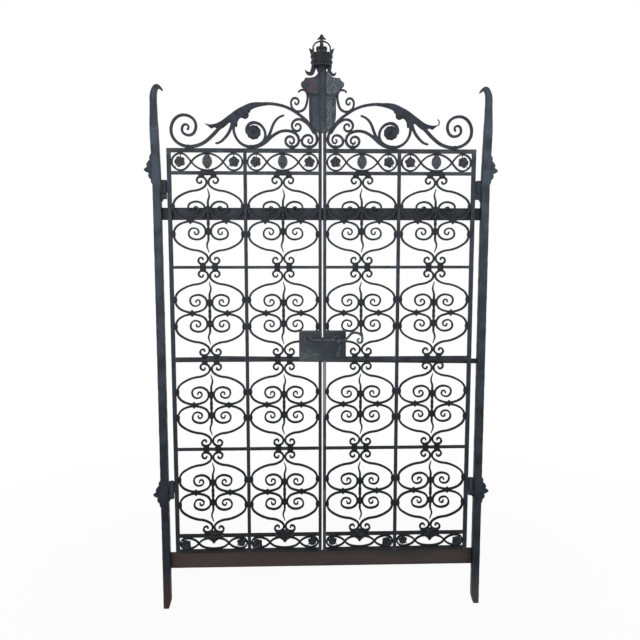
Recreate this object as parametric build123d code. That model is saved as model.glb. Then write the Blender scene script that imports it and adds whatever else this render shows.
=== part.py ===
from build123d import *
import math
import os

os.makedirs("parts", exist_ok=True)

# A two-leaf wrought iron gate between two square posts, in millimetres.
# The origin is the middle of the left post's foot, +X runs to the right post,
# +Y goes to the back and +Z is up. Both leaves swing to the front, -Y.

# Posts and the bars that tie them together behind the leaves
post_spacing = 1920
post_width = 46
post_shoulder_height = 2900
post_neck_height = 3060
post_neck_width = 38
post_foot_chamfer = 12
beak_depth = 32
beak_rise = 85
beak_reach = 54
tie_thickness = 10
tie_overhang = 20
lower_tie_bottom = 256
lower_tie_height = 104
upper_tie_bottom = 2382
upper_tie_height = 72
rear_bar_height = 30
rear_bar_length = 1690
rear_bar_drop = 26

# Leaf bars, seen from the front, and their common depth
hinge_gap = 36
seam_gap = 8
leaf_depth = 20
hinge_stile_width = 24
upright_width = 20
meeting_stile_width = 19
leaf_bottom = 350
bottom_rail_height = 20
lower_frieze_clear = 78
base_rail_height = 20
row_rail_height = 17
mid_rail_height = 28
row_count = 4
row_clear = 528
frieze_rail_height = 20
upper_frieze_clear = 106
top_rail_height = 24

# Scroll bars and the collars that bind them
scroll_width = 11
scroll_depth = 16
scroll_play = 0.5
spike_width = 13
spike_tip_width = 3
collar_depth = 26
collar_lap = 8
collar_rounding = 4
stile_collar_height = 38
stile_collar_reach = 17
rail_collar_width = 34
rail_collar_reach = 15
knob_width = 43
knob_height = 38
side_knob_height = 30
knob_rounding = 9

# Friezes
frieze_bar_width = 10
rosette_radius = 29
rosette_depth = 26
grape_width = 56
grape_height = 60
grape_drop = 2
grape_stalk_width = 18
pendant_width = 44
pendant_height = 52

# Crest over each leaf
crest_rise = 250
crest_bar = 16
crest_branch = 15
crest_tip = 9
boss_radius = 41
boss_depth = 28
crest_leaf_thickness = 6

# Shield on the seam and the crown above it
shield_foot_height = 90
shield_body_height = 203
shield_ear_height = 103
shield_neck_height = 37
shield_half_width = 78
shield_ear_width = 124
shield_neck_width = 28
shield_front = 16
shield_back = 14
shield_gap = 5.4
shield_border = 10
shield_recess = 3.5
shield_rib_width = 22
shield_foot_rise = 14
shield_waist_swell = 10
shield_ear_slope = 18
shield_ear_step = 20
shield_ear_shoulder = 23
shield_throat_width = 70
shield_throat_rise = 9
shield_throat_middle = 45
notch_fit = 0.3
crown_offset = 5
crown_clearance = 6
crown_floor_thickness = 5
crown_neck_radius = 27
crown_neck_height = 26
crown_radius = 65
crown_wall = 4
crown_ring_height = 92
crown_ripple = 4
crown_ripple_count = 2
crown_point_count = 8
crown_point_height = 30
crown_point_lean = 14
crown_arch_rise = 66
crown_arch_width = 8
crown_leaf_thickness = 14
crown_leaf_reach = 93
crown_leaf_drop = 30
crown_leaf_width = 27
finial_height = 38
finial_barb_reach = 24
finial_barb_height = 13
finial_lobe_width = 20

# Hinges: a pin on each post bracket and an eye on the leaf
hinge_heights = (697, 2501)
bracket_height = 33
bracket_depth = 24
bracket_overhang = 13
pin_radius = 6
pin_length = 66
pin_fit = 0.4
eye_radius = 16
eye_height = 77
eye_lift = 0.5
eye_strap_depth = 12
eye_strap_share = 0.84

# Lock: a case on each leaf, a fixed catch on the left and a lever on the right
case_width = 136
case_height = 180
case_bottom = 1550
case_depth = 20
case_lip_reach = 3
latch_rise = 126
latch_pivot_offset = 98
latch_bar = 11
latch_depth = 8
latch_stand_off = 5
latch_seam_clear = 3
latch_pin_radius = 5
latch_pin_fit = 0.3
latch_boss_radius = 16
handle_reach = 138
latch_boss_step = 4
escutcheon_radius = 13
escutcheon_tip_width = 5
escutcheon_thickness = 3
keyhole_width = 5

# Leafy ornaments on the outer faces of the posts
ornament_heights = (742, 2676)
ornament_length = 190
ornament_reach = 44
ornament_depth = 30

# Places worked out from the sizes above
half_post = post_width / 2
seam = post_spacing / 2
hinge_x = half_post + hinge_gap / 2
leaf_left = half_post + hinge_gap
bay_left = leaf_left + hinge_stile_width
meeting_right = seam - seam_gap / 2
meeting_left = meeting_right - meeting_stile_width
bay_width = (meeting_left - bay_left - upright_width) / 2
bay_half = bay_width / 2
bay_middles = (bay_left + bay_half, meeting_left - bay_half)
upright_x = (bay_left + meeting_left) / 2
lower_frieze_bottom = leaf_bottom + bottom_rail_height
base_rail_bottom = lower_frieze_bottom + lower_frieze_clear
rows_bottom = base_rail_bottom + base_rail_height


def row_bottom(row):
    """Height of the underside of a scroll row, counted from the bottom."""
    rails_below = [row_rail_height, mid_rail_height, row_rail_height][:row]
    return rows_bottom + row * row_clear + sum(rails_below)


frieze_rail_bottom = row_bottom(row_count - 1) + row_clear
upper_frieze_bottom = frieze_rail_bottom + frieze_rail_height
top_rail_bottom = upper_frieze_bottom + upper_frieze_clear
leaf_top = top_rail_bottom + top_rail_height
shield_bottom = leaf_top + shield_foot_height
shield_shoulder = shield_bottom + shield_body_height
shield_ear_top = shield_shoulder + shield_ear_height
shield_top = shield_ear_top + shield_neck_height
crown_floor = shield_top + crown_clearance
crown_x = seam - crown_offset
latch_height = case_bottom + latch_rise


def block(x0, x1, y0, y1, z0, z1):
    """A square-edged bar or plate between two corners."""
    middle = Pos((x0 + x1) / 2, (y0 + y1) / 2, (z0 + z1) / 2)
    return middle * Box(x1 - x0, y1 - y0, z1 - z0)


def upright(sketch, depth):
    """Stand a drawing of the front view up and give it a depth about the leaf's middle plane."""
    return Plane.XZ * extrude(sketch, amount=depth / 2, both=True)


def plate(sketch, front, back):
    """Stand a drawing of the front view up between two depths, counted to the back."""
    return Plane.XZ * Pos(0, 0, -back) * extrude(sketch, amount=back - front)


def other_side(shape):
    """The same piece on the other leaf or post."""
    return mirror(shape, about=Plane.YZ.offset(seam))


class Pen:
    """Draws the middle line of a bent bar as tangent arcs between knots.

    A knot is a place and a heading in degrees, counted from +X towards +Z. The places are
    shares of a width and a height, so the drawing follows the frame it sits in.
    """

    def __init__(self, origin, size, knot):
        self.origin = origin
        self.size = size
        self.pieces = []
        self.x, self.z = self.place(knot)
        self.heading = knot[2]

    def place(self, knot):
        return (self.origin[0] + knot[0] * self.size[0], self.origin[1] + knot[1] * self.size[1])

    def through(self, *knots):
        """Two tangent arcs to each knot in turn."""
        for knot in knots:
            x, z = self.place(knot)
            start = Vector(math.cos(math.radians(self.heading)), math.sin(math.radians(self.heading)))
            end = Vector(math.cos(math.radians(knot[2])), math.sin(math.radians(knot[2])))
            gap = Vector(x - self.x, z - self.z)
            both = gap.dot(start + end)
            spread = 2 * (1 - start.dot(end))
            if spread < 1e-6:
                reach = gap.dot(gap) / (4 * gap.dot(end))
            else:
                reach = (math.sqrt(both * both + spread * gap.dot(gap)) - both) / spread
            joint = (Vector(self.x, self.z) + Vector(x, z) + (start - end) * reach) * 0.5
            self.arc_to(joint.X, joint.Y)
            self.arc_to(x, z)
            self.heading = knot[2]
        return self

    def arc_to(self, x, z):
        """One arc from here, tangent to the heading."""
        chord = math.hypot(x - self.x, z - self.z)
        aim = math.degrees(math.atan2(z - self.z, x - self.x))
        swing = (aim - self.heading + 180) % 360 - 180
        self.pieces.append((self.x, self.z, self.heading, chord, swing))
        self.x, self.z = x, z
        self.heading += 2 * swing

    def spots(self, share):
        """Place and heading at the start, middle and end of every arc, with the run so far."""
        places = []
        run = 0
        for x, z, heading, chord, swing in self.pieces:
            bend = math.radians(swing)
            length = chord if abs(swing) < 0.1 else chord * bend / math.sin(bend)
            for part in share:
                turned = math.radians(heading + part * swing)
                step = chord * part if abs(swing) < 0.1 else chord * math.sin(part * bend) / math.sin(bend)
                spot = (x + step * math.cos(turned), z + step * math.sin(turned))
                places.append((spot, heading + 2 * part * swing, run + part * length))
            run += length
        return places, run

    def ribbon(self, *widths):
        """The bar's outline with round ends. The widths are spread evenly over its length."""
        places, run = self.spots((0, 0.5, 1))
        spans = max(len(widths) - 1, 1)

        def width_at(here):
            along = min(here / run * spans, spans - 1e-9)
            first = int(along)
            nearby = widths[first:first + 2]
            return nearby[0] + (nearby[-1] - nearby[0]) * (along - first)

        def beside(index, side):
            (x, z), heading, here = places[index]
            half = side * width_at(here) / 2
            turned = math.radians(heading + 90)
            return (x + half * math.cos(turned), z + half * math.sin(turned))

        def ahead(index, reach):
            (x, z), heading, _ = places[index]
            turn = math.radians(heading)
            return (x + reach * math.cos(turn), z + reach * math.sin(turn))

        edges = []
        for side in (1, -1):
            for index in range(0, len(places), 3):
                stops = [beside(index + step, side) for step in range(3)]
                if abs(self.pieces[index // 3][4]) < 1:
                    edges.append(Line(stops[0], stops[2]))
                else:
                    edges.append(ThreePointArc(*stops))
        last = len(places) - 1
        edges.append(ThreePointArc(beside(last, 1), ahead(last, widths[-1] / 2), beside(last, -1)))
        edges.append(ThreePointArc(beside(0, 1), ahead(0, -widths[0] / 2), beside(0, -1)))
        return make_face(edges)


def joined(drawings):
    """Drawings melted into one outline."""
    total = drawings[0]
    for drawing in drawings[1:]:
        total = total + drawing
    return total


def tab(x, z, width, height, rounding=collar_rounding):
    """A collar seen from the front, with rounded corners."""
    return Pos(x, z) * RectangleRounded(width, height, rounding)


# ---------------------------------------------------------------- scroll rows

def panel_scroll(half_width, half_height):
    """The upper right scroll of a panel, from the eye of the rail curl to the eye of the spiral."""
    side = 1 - (scroll_width / 2 + scroll_play) / half_width
    touch = (scroll_width / 2 - scroll_play) / half_width
    floor = (scroll_width / 2 - scroll_play) / half_height
    pen = Pen((0, 0), (half_width, half_height), (0.165, 0.86, -90))
    pen.through((0.21, 0.815, 0), (0.295, 0.885, 90), (0.19, 0.955, 180), (touch, 0.84, -90))
    pen.through((0.19, 0.69, -24), (0.56, 0.62, -19), (side, 0.3, -90), (0.5, floor, 180))
    pen.through((0.075, 0.24, 90), (0.32, 0.415, 0), (0.55, 0.29, -90), (0.41, 0.165, 180))
    pen.through((0.27, 0.245, 90), (0.34, 0.305, 0), (0.385, 0.25, -100))
    return pen.ribbon(scroll_width)


def panel_spike(half_width, half_height):
    """The twisted spike in the middle of a panel, waving at both ends."""
    pen = Pen((0, 0), (half_width, half_height), (0, 0.7, -85))
    pen.through((0.04, 0.56, -90), (0, 0.4, -90), (0, -0.4, -90), (-0.045, -0.55, -90), (0.005, -0.7, -80))
    return pen.ribbon(spike_tip_width, spike_width, spike_width, spike_tip_width)


def scroll_panel():
    """One panel about its own middle: four scrolls, a spike and the collars that bind them."""
    half_height = row_clear / 2
    corner = panel_scroll(bay_half, half_height)
    side = corner + mirror(corner, about=Plane.XZ)
    scrolls = side + mirror(side, about=Plane.YZ) + panel_spike(bay_half, half_height)
    bindings = []
    for up in (-1, 1):
        bindings.append(tab(0, up * 0.24 * half_height, knob_width, knob_height, knob_rounding))
        bindings.append(tab(up * 0.5 * bay_half, 0, knob_width, side_knob_height, knob_rounding))
        rail_z = up * (half_height + (collar_lap - rail_collar_reach) / 2)
        side_z = up * 0.3 * half_height
        for right in (-1, 1):
            rail_x = right * 0.17 * bay_half
            bindings.append(tab(rail_x, rail_z, rail_collar_width, collar_lap + rail_collar_reach))
            side_x = right * (bay_half + (collar_lap - stile_collar_reach) / 2)
            bindings.append(tab(side_x, side_z, collar_lap + stile_collar_reach, stile_collar_height))
    return upright(scrolls, scroll_depth) + [upright(binding, collar_depth) for binding in bindings]


def scroll_row():
    """Both panels of a row, joined by the collars that wrap the middle upright."""
    middle_z = row_bottom(0) + row_clear / 2
    row = Part()
    for x in bay_middles:
        row = row + Pos(x, 0, middle_z) * panel
    for up in (-1, 1):
        wrap = tab(upright_x, middle_z + up * 0.3 * row_clear / 2, upright_width + 4, stile_collar_height)
        row = row + upright(wrap, collar_depth)
    half = leaf_depth / 2
    bars = [
        block(leaf_left, bay_left, -half, half, rows_bottom, rows_bottom + row_clear),
        block(meeting_left, meeting_right, -half, half, rows_bottom, rows_bottom + row_clear),
        block(upright_x - upright_width / 2, upright_x + upright_width / 2, -half, half,
              rows_bottom - collar_lap, rows_bottom + row_clear + collar_lap),
        block(leaf_left, meeting_right, -half, half, rows_bottom - base_rail_height, rows_bottom),
        block(leaf_left, meeting_right, -half, half, rows_bottom + row_clear, row_bottom(1)),
    ]
    return row - bars


# ---------------------------------------------------------------- friezes

def interlace(half_height):
    """Two bars that wave past each other: a ring, a pointed almond and a ring."""
    crest = 1 - frieze_bar_width / 2 / half_height
    end = 1 - frieze_bar_width / 2 / bay_half
    ring = end - 0.95 * half_height / bay_half
    wave = Pen((0, 0), (bay_half, half_height), (-end, 0, 90))
    wave.through((-ring, crest, 0), (-0.44, 0, -54), (0, -crest, 0), (0.44, 0, 54))
    wave.through((ring, crest, 0), (end, 0, -90))
    line = wave.ribbon(frieze_bar_width)
    return line + mirror(line, about=Plane.XZ), ring * bay_half


def domed_disc(radius, depth):
    """A disc that swells to the front and the back."""
    profile = make_face([
        Line((0, -depth / 2), (0, depth / 2)),
        ThreePointArc((0, depth / 2), (0.8 * radius, 0.3 * depth), (radius, 0)),
        ThreePointArc((radius, 0), (0.8 * radius, -0.3 * depth), (0, -depth / 2)),
    ])
    return Rot(90, 0, 0) * revolve(Plane.XZ * profile, Axis.Z)


def egg(width, height, depth):
    """A hanging cluster, round in plan and longer than wide."""
    profile = make_face([
        Line((0, -height / 2), (0, height / 2)),
        ThreePointArc((0, height / 2), (width / 2, -0.06 * height), (0, -height / 2)),
    ])
    return scale(revolve(Plane.XZ * profile, Axis.Z), (1, depth / width, 1))


def frieze(bottom, clear, radius, pendant):
    """One frieze of a leaf: in both bays the interlace, a rosette in each ring and a pendant."""
    half_height = clear / 2
    lines, ring_x = interlace(half_height)
    half_bar = frieze_bar_width / 2
    stalk = block(-half_bar, half_bar, -scroll_depth / 4, scroll_depth / 4, 0, half_height - half_bar)
    bay = upright(lines, scroll_depth)
    for x in (-ring_x, ring_x):
        bay = bay + Pos(x, 0, 0) * stalk
        bay = bay + Pos(x, 0, 0) * domed_disc(radius, rosette_depth)
    bay = bay + pendant
    return [Pos(x, 0, bottom + half_height) * bay for x in bay_middles]


def grape_cluster():
    """A bunch that hangs from the top of the almond."""
    half_stalk = grape_stalk_width / 2
    top = (upper_frieze_clear - frieze_bar_width) / 2
    stalk = block(-half_stalk, half_stalk, -scroll_depth / 4, scroll_depth / 4, 0, top)
    return stalk + Pos(0, 0, -grape_drop) * egg(grape_width, grape_height, rosette_depth)


def leaf_pendant():
    """A heart-shaped leaf that hangs from the top of the almond, point down."""
    top = (lower_frieze_clear - frieze_bar_width) / 2
    half = pendant_width / 2
    shoulder = top - 0.3 * pendant_height
    edges = []
    for way in (1, -1):
        side = (way * half, shoulder)
        crown_spot = (way * 0.6 * half, top - 0.02 * pendant_height)
        flank = (way * 0.62 * half, top - 0.7 * pendant_height)
        edges.append(ThreePointArc((0, top), crown_spot, side))
        edges.append(ThreePointArc(side, flank, (0, top - pendant_height)))
    outline = make_face(edges)
    return upright(outline, scroll_depth)


# ---------------------------------------------------------------- crest

crest_span = meeting_left - leaf_left
crest_size = (crest_span, crest_rise)
crest_origin = (leaf_left, leaf_top)


def crest_pen(*knot):
    """A pen whose knots are shares of the crest's own span and rise."""
    return Pen(crest_origin, crest_size, knot)


def crest_sweep():
    """The long bar: outer spiral, sweep up and over, and the curl against the meeting stile."""
    floor = (crest_bar / 2 + 1) / crest_rise
    stile = 1 - crest_bar / 2 / crest_span
    pen = crest_pen(0.142, 0.416, 70)
    pen.through((0.148, 0.464, 90), (0.128, 0.528, 180), (0.104, 0.416, -90), (0.149, 0.288, 0))
    pen.through((0.196, 0.496, 90), (0.118, 0.736, 180), (0.033, 0.4, -90), (0.149, floor, 0))
    pen.through((0.268, 0.18, 40), (0.38, 0.55, 42), (0.494, 0.828, 28), (0.662, 0.996, 0))
    pen.through((0.836, 0.84, -32), (0.935, 0.57, -50), (stile, 0.2, -90), (0.94, floor, 180))
    pen.through((0.89, 0.16, 90), (0.933, 0.304, 0), (0.961, 0.2, -90), (0.944, 0.125, 180))
    pen.through((0.931, 0.176, 90), (0.938, 0.205, 10))
    return pen


def drawn_out(width):
    """Widths of a long bar that is drawn out thin over the last eighth at each end."""
    return [crest_tip] + 7 * [width] + [crest_tip]


def crest_inner():
    """The big inner scroll that ends in the boss."""
    floor = (crest_branch / 2 + 1) / crest_rise
    pen = crest_pen(0.468, 0.7, -112)
    pen.through((0.442, 0.444, -90), (0.555, floor, 0), (0.65, 0.296, 90), (0.573, 0.576, 180))
    return pen.through((0.527, 0.4, -90), (0.55, 0.3, -40))


def crest_fork():
    """The branch that leaves the inner scroll, arches and winds into its own spiral."""
    floor = (crest_branch / 2 + 1) / crest_rise
    pen = crest_pen(0.57, floor, 0)
    pen.through((0.669, 0.2, 43), (0.787, 0.4, 0), (0.87, 0.19, -90), (0.826, floor, 180))
    return pen.through((0.782, 0.17, 90), (0.812, 0.272, 0), (0.839, 0.176, -90), (0.82, 0.112, 180),
                       (0.81, 0.155, 80))


def crest_lower_tendril():
    """The tendril that hangs from the leaf inside the sweep."""
    pen = crest_pen(0.47, 0.78, -115)
    return pen.through((0.434, 0.6, -98), (0.394, 0.272, -130), (0.326, 0.112, 185))


def crest_upper_tendril():
    """The tendril that rises from the fork."""
    return crest_pen(0.655, 0.17, 58).through((0.694, 0.472, 72), (0.77, 0.736, 12))


def crest_nested_scroll():
    """The scroll that lies under the end of the sweep."""
    pen = crest_pen(0.968, 0.36, 122)
    pen.through((0.909, 0.604, 147), (0.869, 0.656, 180), (0.825, 0.512, -90), (0.858, 0.392, 0))
    return pen.through((0.883, 0.484, 90), (0.862, 0.552, 180), (0.849, 0.504, -90))


def crest_ear_scroll():
    """The scroll that stands on the sweep and leans on the shield."""
    shield_edge = seam - shield_half_width
    lean = (shield_edge - notch_fit - crest_branch / 2 - leaf_left) / crest_span
    pen = crest_pen(lean - 0.054, 1.24, 62)
    pen.through((lean - 0.027, 1.288, 0), (lean, 1.144, -90), (lean - 0.058, 0.81, 180))
    pen.through((lean - 0.105, 0.992, 90), (lean - 0.078, 1.104, 0), (lean - 0.054, 1.03, -90))
    return pen.through((lean - 0.069, 0.968, 180), (lean - 0.079, 1.01, 90))


def crest_scrolls():
    """Every bar of the crest, the boss and the collars that hold them to the top rail."""
    drawings = [
        crest_sweep().ribbon(*drawn_out(crest_bar)),
        crest_inner().ribbon(crest_branch),
        crest_fork().ribbon(crest_branch, crest_tip),
        crest_lower_tendril().ribbon(crest_branch, crest_tip),
        crest_upper_tendril().ribbon(crest_branch, crest_tip),
        crest_nested_scroll().ribbon(crest_branch, crest_tip),
        crest_ear_scroll().ribbon(crest_tip, crest_branch, crest_tip),
    ]
    bars = upright(joined(drawings), scroll_depth)
    boss_x, boss_z = crest_place(0.573, 0.36)
    boss = Pos(boss_x, 0, boss_z) * domed_disc(boss_radius, boss_depth)
    crest = bars + boss
    for share in (0.142, 0.555, 0.826):
        low = leaf_top - collar_lap
        high = leaf_top + rail_collar_reach
        binding = tab(leaf_left + share * crest_span, (low + high) / 2, rail_collar_width, high - low)
        crest = crest + upright(binding, collar_depth)
    half = leaf_depth / 2
    return crest - block(leaf_left, meeting_left, -half, half, top_rail_bottom, leaf_top)


def crest_place(share_x, share_z):
    """A place in the crest, from shares of its span and rise."""
    return (leaf_left + share_x * crest_span, leaf_top + share_z * crest_rise)


def crest_leaf():
    """The acanthus leaf that clasps the sweep: one plate on the front and one on the back."""
    back = [(0.254, 0.55), (0.294, 0.527), (0.347, 0.576), (0.414, 0.735), (0.459, 0.848), (0.501, 0.925),
            (0.545, 0.993), (0.588, 1.021), (0.655, 1.018)]
    lobes = [(0.655, 0.956), (0.612, 0.928), (0.577, 0.893), (0.557, 0.85), (0.547, 0.794), (0.532, 0.818),
             (0.542, 0.742), (0.534, 0.68), (0.517, 0.654), (0.502, 0.674), (0.487, 0.69), (0.468, 0.6),
             (0.46, 0.5), (0.437, 0.5), (0.42, 0.572), (0.392, 0.51), (0.364, 0.44), (0.338, 0.432),
             (0.325, 0.458), (0.311, 0.464), (0.298, 0.437), (0.28, 0.478), (0.266, 0.514)]
    spine = Spline([crest_place(*spot) for spot in back])
    edge = Polyline([crest_place(*spot) for spot in [back[-1]] + lobes + [back[0]]])
    outline = make_face([spine, *edge.edges()])
    near = scroll_depth / 2
    far = near + crest_leaf_thickness
    return [plate(outline, -far, -near), plate(outline, near, far)]


# ---------------------------------------------------------------- shield and crown

def shield_outline(shrink):
    """Half of the shield left of the seam, drawn smaller all round by a border."""
    inner = seam - shield_gap / 2
    side = seam - shield_half_width
    tip = seam - shield_ear_width
    ear = shield_ear_top - shield_shoulder
    waist_z = shield_bottom + 0.45 * shield_body_height
    ear_root = (side - shield_waist_swell, shield_shoulder + 0.22 * ear)
    ear_low = (tip + shield_ear_slope, shield_shoulder + 0.42 * ear)
    ear_high = (tip + shield_ear_step, shield_shoulder + 0.88 * ear)
    throat = (seam - shield_throat_width, shield_ear_top)
    neck = (seam - shield_neck_width, shield_top)
    foot_middle = (side + 0.4 * shield_half_width, shield_bottom + shield_foot_rise)
    outline = make_face([
        ThreePointArc((inner, shield_bottom), foot_middle, (side, waist_z)),
        Line((side, waist_z), (side, shield_shoulder)),
        ThreePointArc((side, shield_shoulder), ear_root, ear_low),
        Line(ear_low, (tip, shield_shoulder + 0.58 * ear)),
        Line((tip, shield_shoulder + 0.58 * ear), (tip, shield_shoulder + 0.74 * ear)),
        Line((tip, shield_shoulder + 0.74 * ear), ear_high),
        Line(ear_high, (tip + shield_ear_shoulder, shield_ear_top)),
        Line((tip + shield_ear_shoulder, shield_ear_top), throat),
        ThreePointArc(throat, (seam - shield_throat_middle, shield_ear_top + shield_throat_rise), neck),
        Line(neck, (inner, shield_top)),
        Line((inner, shield_top), (inner, shield_bottom)),
    ])
    return offset(outline, amount=-shrink) if shrink else outline


def shield():
    """The left half of the shield, hollow for the stile and notched for the crest bars."""
    body = plate(shield_outline(0), -shield_front, shield_back)
    half = leaf_depth / 2
    body = body - block(meeting_left, meeting_right, -half, half, leaf_top, shield_top - shield_border)
    panels = shield_outline(shield_border)
    rib = seam - shield_gap / 2 - shield_rib_width
    bar_z = shield_shoulder
    crossing = block(seam - 2 * shield_half_width, seam, -shield_front, shield_back,
                     bar_z - shield_border / 2, bar_z + shield_border / 2)
    faces = [(-shield_front, shield_recess - shield_front), (shield_back - shield_recess, shield_back)]
    for front, back in faces:
        pocket = plate(panels, front, back)
        pocket = pocket - block(rib, seam, front, back, shield_bottom, shield_top) - crossing
        body = body - pocket
    fit = 2 * notch_fit
    body = body - upright(crest_sweep().ribbon(*drawn_out(crest_bar + fit)), scroll_depth + fit)
    nested = crest_nested_scroll().ribbon(crest_branch + fit, crest_tip + fit)
    return body - upright(nested, scroll_depth + fit)


def crown():
    """A closed crown: neck, rippled ring, points, four arches, fleurs, hanging leaves and finial."""
    neck_top = crown_floor + crown_neck_height
    ring_bottom = neck_top + crown_floor_thickness
    ring_top = crown_floor + crown_ring_height
    inner = crown_radius - crown_wall
    rise = (ring_top - neck_top) / crown_ripple_count
    cove_x = crown_neck_radius + 0.29 * (crown_radius - crown_neck_radius)
    cove_z = crown_floor + 0.71 * crown_neck_height
    edges = []
    for ripple in range(crown_ripple_count):
        low = neck_top + ripple * rise
        edges.append(ThreePointArc((crown_radius, low), (crown_radius + crown_ripple, low + rise / 2),
                                   (crown_radius, low + rise)))
    edges += [
        Line((crown_radius, ring_top), (inner, ring_top)),
        Line((inner, ring_top), (inner, ring_bottom)),
        Line((inner, ring_bottom), (0, ring_bottom)),
        Line((0, ring_bottom), (0, crown_floor)),
        Line((0, crown_floor), (crown_neck_radius, crown_floor)),
        ThreePointArc((crown_neck_radius, crown_floor), (cove_x, cove_z), (crown_radius, neck_top)),
    ]
    pieces = [revolve(Plane.XZ * make_face(edges), Axis.Z)]
    pieces += crown_points(inner, ring_top) + crown_arches(inner, ring_top) + crown_leaves()
    pieces += crown_fleurs(ring_top)
    body = pieces[0]
    for piece in pieces[1:]:
        body = body + piece
    half = leaf_depth / 2
    seat = block(seam - shield_neck_width, seam - shield_gap / 2, -half, half, shield_top, crown_floor)
    return Pos(crown_x, 0, 0) * body + seat


def crown_points(inner, ring_top):
    """Flared points round the rim."""
    half = 0.42 * crown_point_height
    root = 0.3 * crown_point_height
    outline = make_face([
        Line((-half, -root), (half, -root)),
        ThreePointArc((half, -root), (0.3 * half, 0.4 * crown_point_height), (0, crown_point_height)),
        ThreePointArc((0, crown_point_height), (-0.3 * half, 0.4 * crown_point_height), (-half, -root)),
    ])
    point = upright(outline, crown_wall)
    stand = Pos(0, -inner - crown_wall / 2, ring_top) * Rot(crown_point_lean, 0, 0) * point
    return [Rot(0, 0, 90 + index * 360 / crown_point_count) * stand for index in range(crown_point_count)]


def crown_arches(inner, ring_top):
    """Four thin bars that rise from the rim and meet under the finial."""
    foot = (-1, -0.12, 90)
    pen = Pen((0, ring_top), (inner, crown_arch_rise), foot).through((-0.66, 0.68, 42), (0, 1, 24))
    arch = upright(pen.ribbon(crown_arch_width), crown_arch_width)
    return [Rot(0, 0, 90 * quarter) * arch for quarter in range(4)]


def crown_fleurs(ring_top):
    """The stem in the middle with a curl to each side, and the three-lobed finial on top."""
    top = ring_top + crown_arch_rise
    stem = Pos(0, 0, (crown_floor + top) / 2) * Cylinder(crown_arch_width, top - crown_floor)
    spread = 0.42 * crown_radius
    height = 0.32 * crown_arch_rise
    curl = Pen((0, ring_top), (spread, height), (0, -0.5, 20))
    curl.through((1, 0.5, 90), (0.62, 1, 180), (0.4, 0.6, -90))
    side = upright(curl.ribbon(crown_arch_width, crown_arch_width), crown_arch_width)
    tip = (0, top + finial_height)
    low = (0, top - 0.6 * finial_barb_height)
    neck_z = top + 1.3 * finial_barb_height
    half = []
    for way in (1, -1):
        barb = (way * finial_barb_reach, top)
        waist = (way * 0.3 * finial_lobe_width, neck_z)
        lobe = (way * 0.5 * finial_lobe_width, (neck_z + tip[1]) / 2)
        hollow = (way * 0.4 * finial_barb_reach, top + 0.7 * finial_barb_height)
        half.append([Line(low, barb), ThreePointArc(barb, hollow, waist), ThreePointArc(waist, lobe, tip)])
    arrow = make_face(half[0] + half[1])
    return [stem, side, mirror(side, about=Plane.YZ), upright(arrow, 1.5 * crown_arch_width)]


def crown_leaves():
    """The two leaves that hang from the ring and curl outwards."""
    pen = Pen((0, crown_floor), (crown_leaf_reach, crown_leaf_drop), (0.52, 1, -90))
    pen.through((0.54, 0.1, -85), (0.77, -0.86, -5), (1, -0.3, 80))
    ribbon = pen.ribbon(crown_leaf_width, crown_leaf_width, 0.65 * crown_leaf_width, 0.6 * crown_arch_width)
    leaf = upright(ribbon, crown_leaf_thickness)
    return [leaf, mirror(leaf, about=Plane.YZ)]


# ---------------------------------------------------------------- hinges

def pintles():
    """The brackets on the left post, each with the pin that its hinge eye turns on."""
    pieces = []
    for bottom in hinge_heights:
        arm = block(half_post, hinge_x + bracket_overhang, -bracket_depth / 2, bracket_depth / 2,
                    bottom, bottom + bracket_height)
        pin = Pos(hinge_x, 0, bottom + bracket_height + pin_length / 2) * Cylinder(pin_radius, pin_length)
        pieces.append(arm + pin)
    return pieces


def hinge_eyes():
    """The eyes of the left leaf, blind at the top, each with a strap to the hinge stile."""
    pieces = []
    for bottom in hinge_heights:
        low = bottom + bracket_height + eye_lift
        bore_depth = pin_length - eye_lift + pin_fit
        eye = Pos(hinge_x, 0, low + eye_height / 2) * Cylinder(eye_radius, eye_height)
        margin = (1 - eye_strap_share) / 2 * eye_height
        strap = block(hinge_x, leaf_left, -eye_strap_depth / 2, eye_strap_depth / 2,
                      low + margin, low + eye_height - margin)
        bore = Pos(hinge_x, 0, low + bore_depth / 2) * Cylinder(pin_radius + pin_fit, bore_depth)
        pieces.append(eye + strap - bore)
    return pieces


# ---------------------------------------------------------------- lock

case_left = meeting_right - case_width
case_front = -leaf_depth / 2 - case_depth
lever_back = case_front - latch_stand_off
lever_front = lever_back - latch_depth
pivot_x = seam + latch_pivot_offset
pivot_z = latch_height - 0.5 * latch_bar


def turned(x, front, z, radius, depth):
    """A round boss or pin whose axis runs to the back, from its front face."""
    return Pos(x, front + depth / 2, z) * Rot(90, 0, 0) * Cylinder(radius, depth)


def lock_case():
    """A plain flat case on the front of the left leaf."""
    return block(case_left, meeting_right, case_front, -leaf_depth / 2,
                 case_bottom, case_bottom + case_height)


def keeper_case():
    """The left case with the curled catch that the lever meets."""
    end = seam - latch_seam_clear - latch_bar / 2
    reach = end - case_left - 0.3 * case_width
    pen = Pen((end, latch_height), (reach, reach), (0, 0, 180))
    pen.through((-0.42, 0, 180), (-0.74, 0.2, 172), (-0.97, 0.02, -90))
    pen.through((-0.84, -0.14, 0), (-0.74, -0.03, 90))
    bar = plate(pen.ribbon(latch_bar), lever_front, lever_back)
    post_x = end - 0.5 * reach
    foot = turned(post_x, lever_back, latch_height, 0.4 * latch_bar, latch_stand_off)
    lip = block(meeting_right, meeting_right + case_lip_reach, case_front, -leaf_depth / 2, case_bottom,
                latch_height - latch_bar)
    return lock_case() + lip + bar + foot


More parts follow.
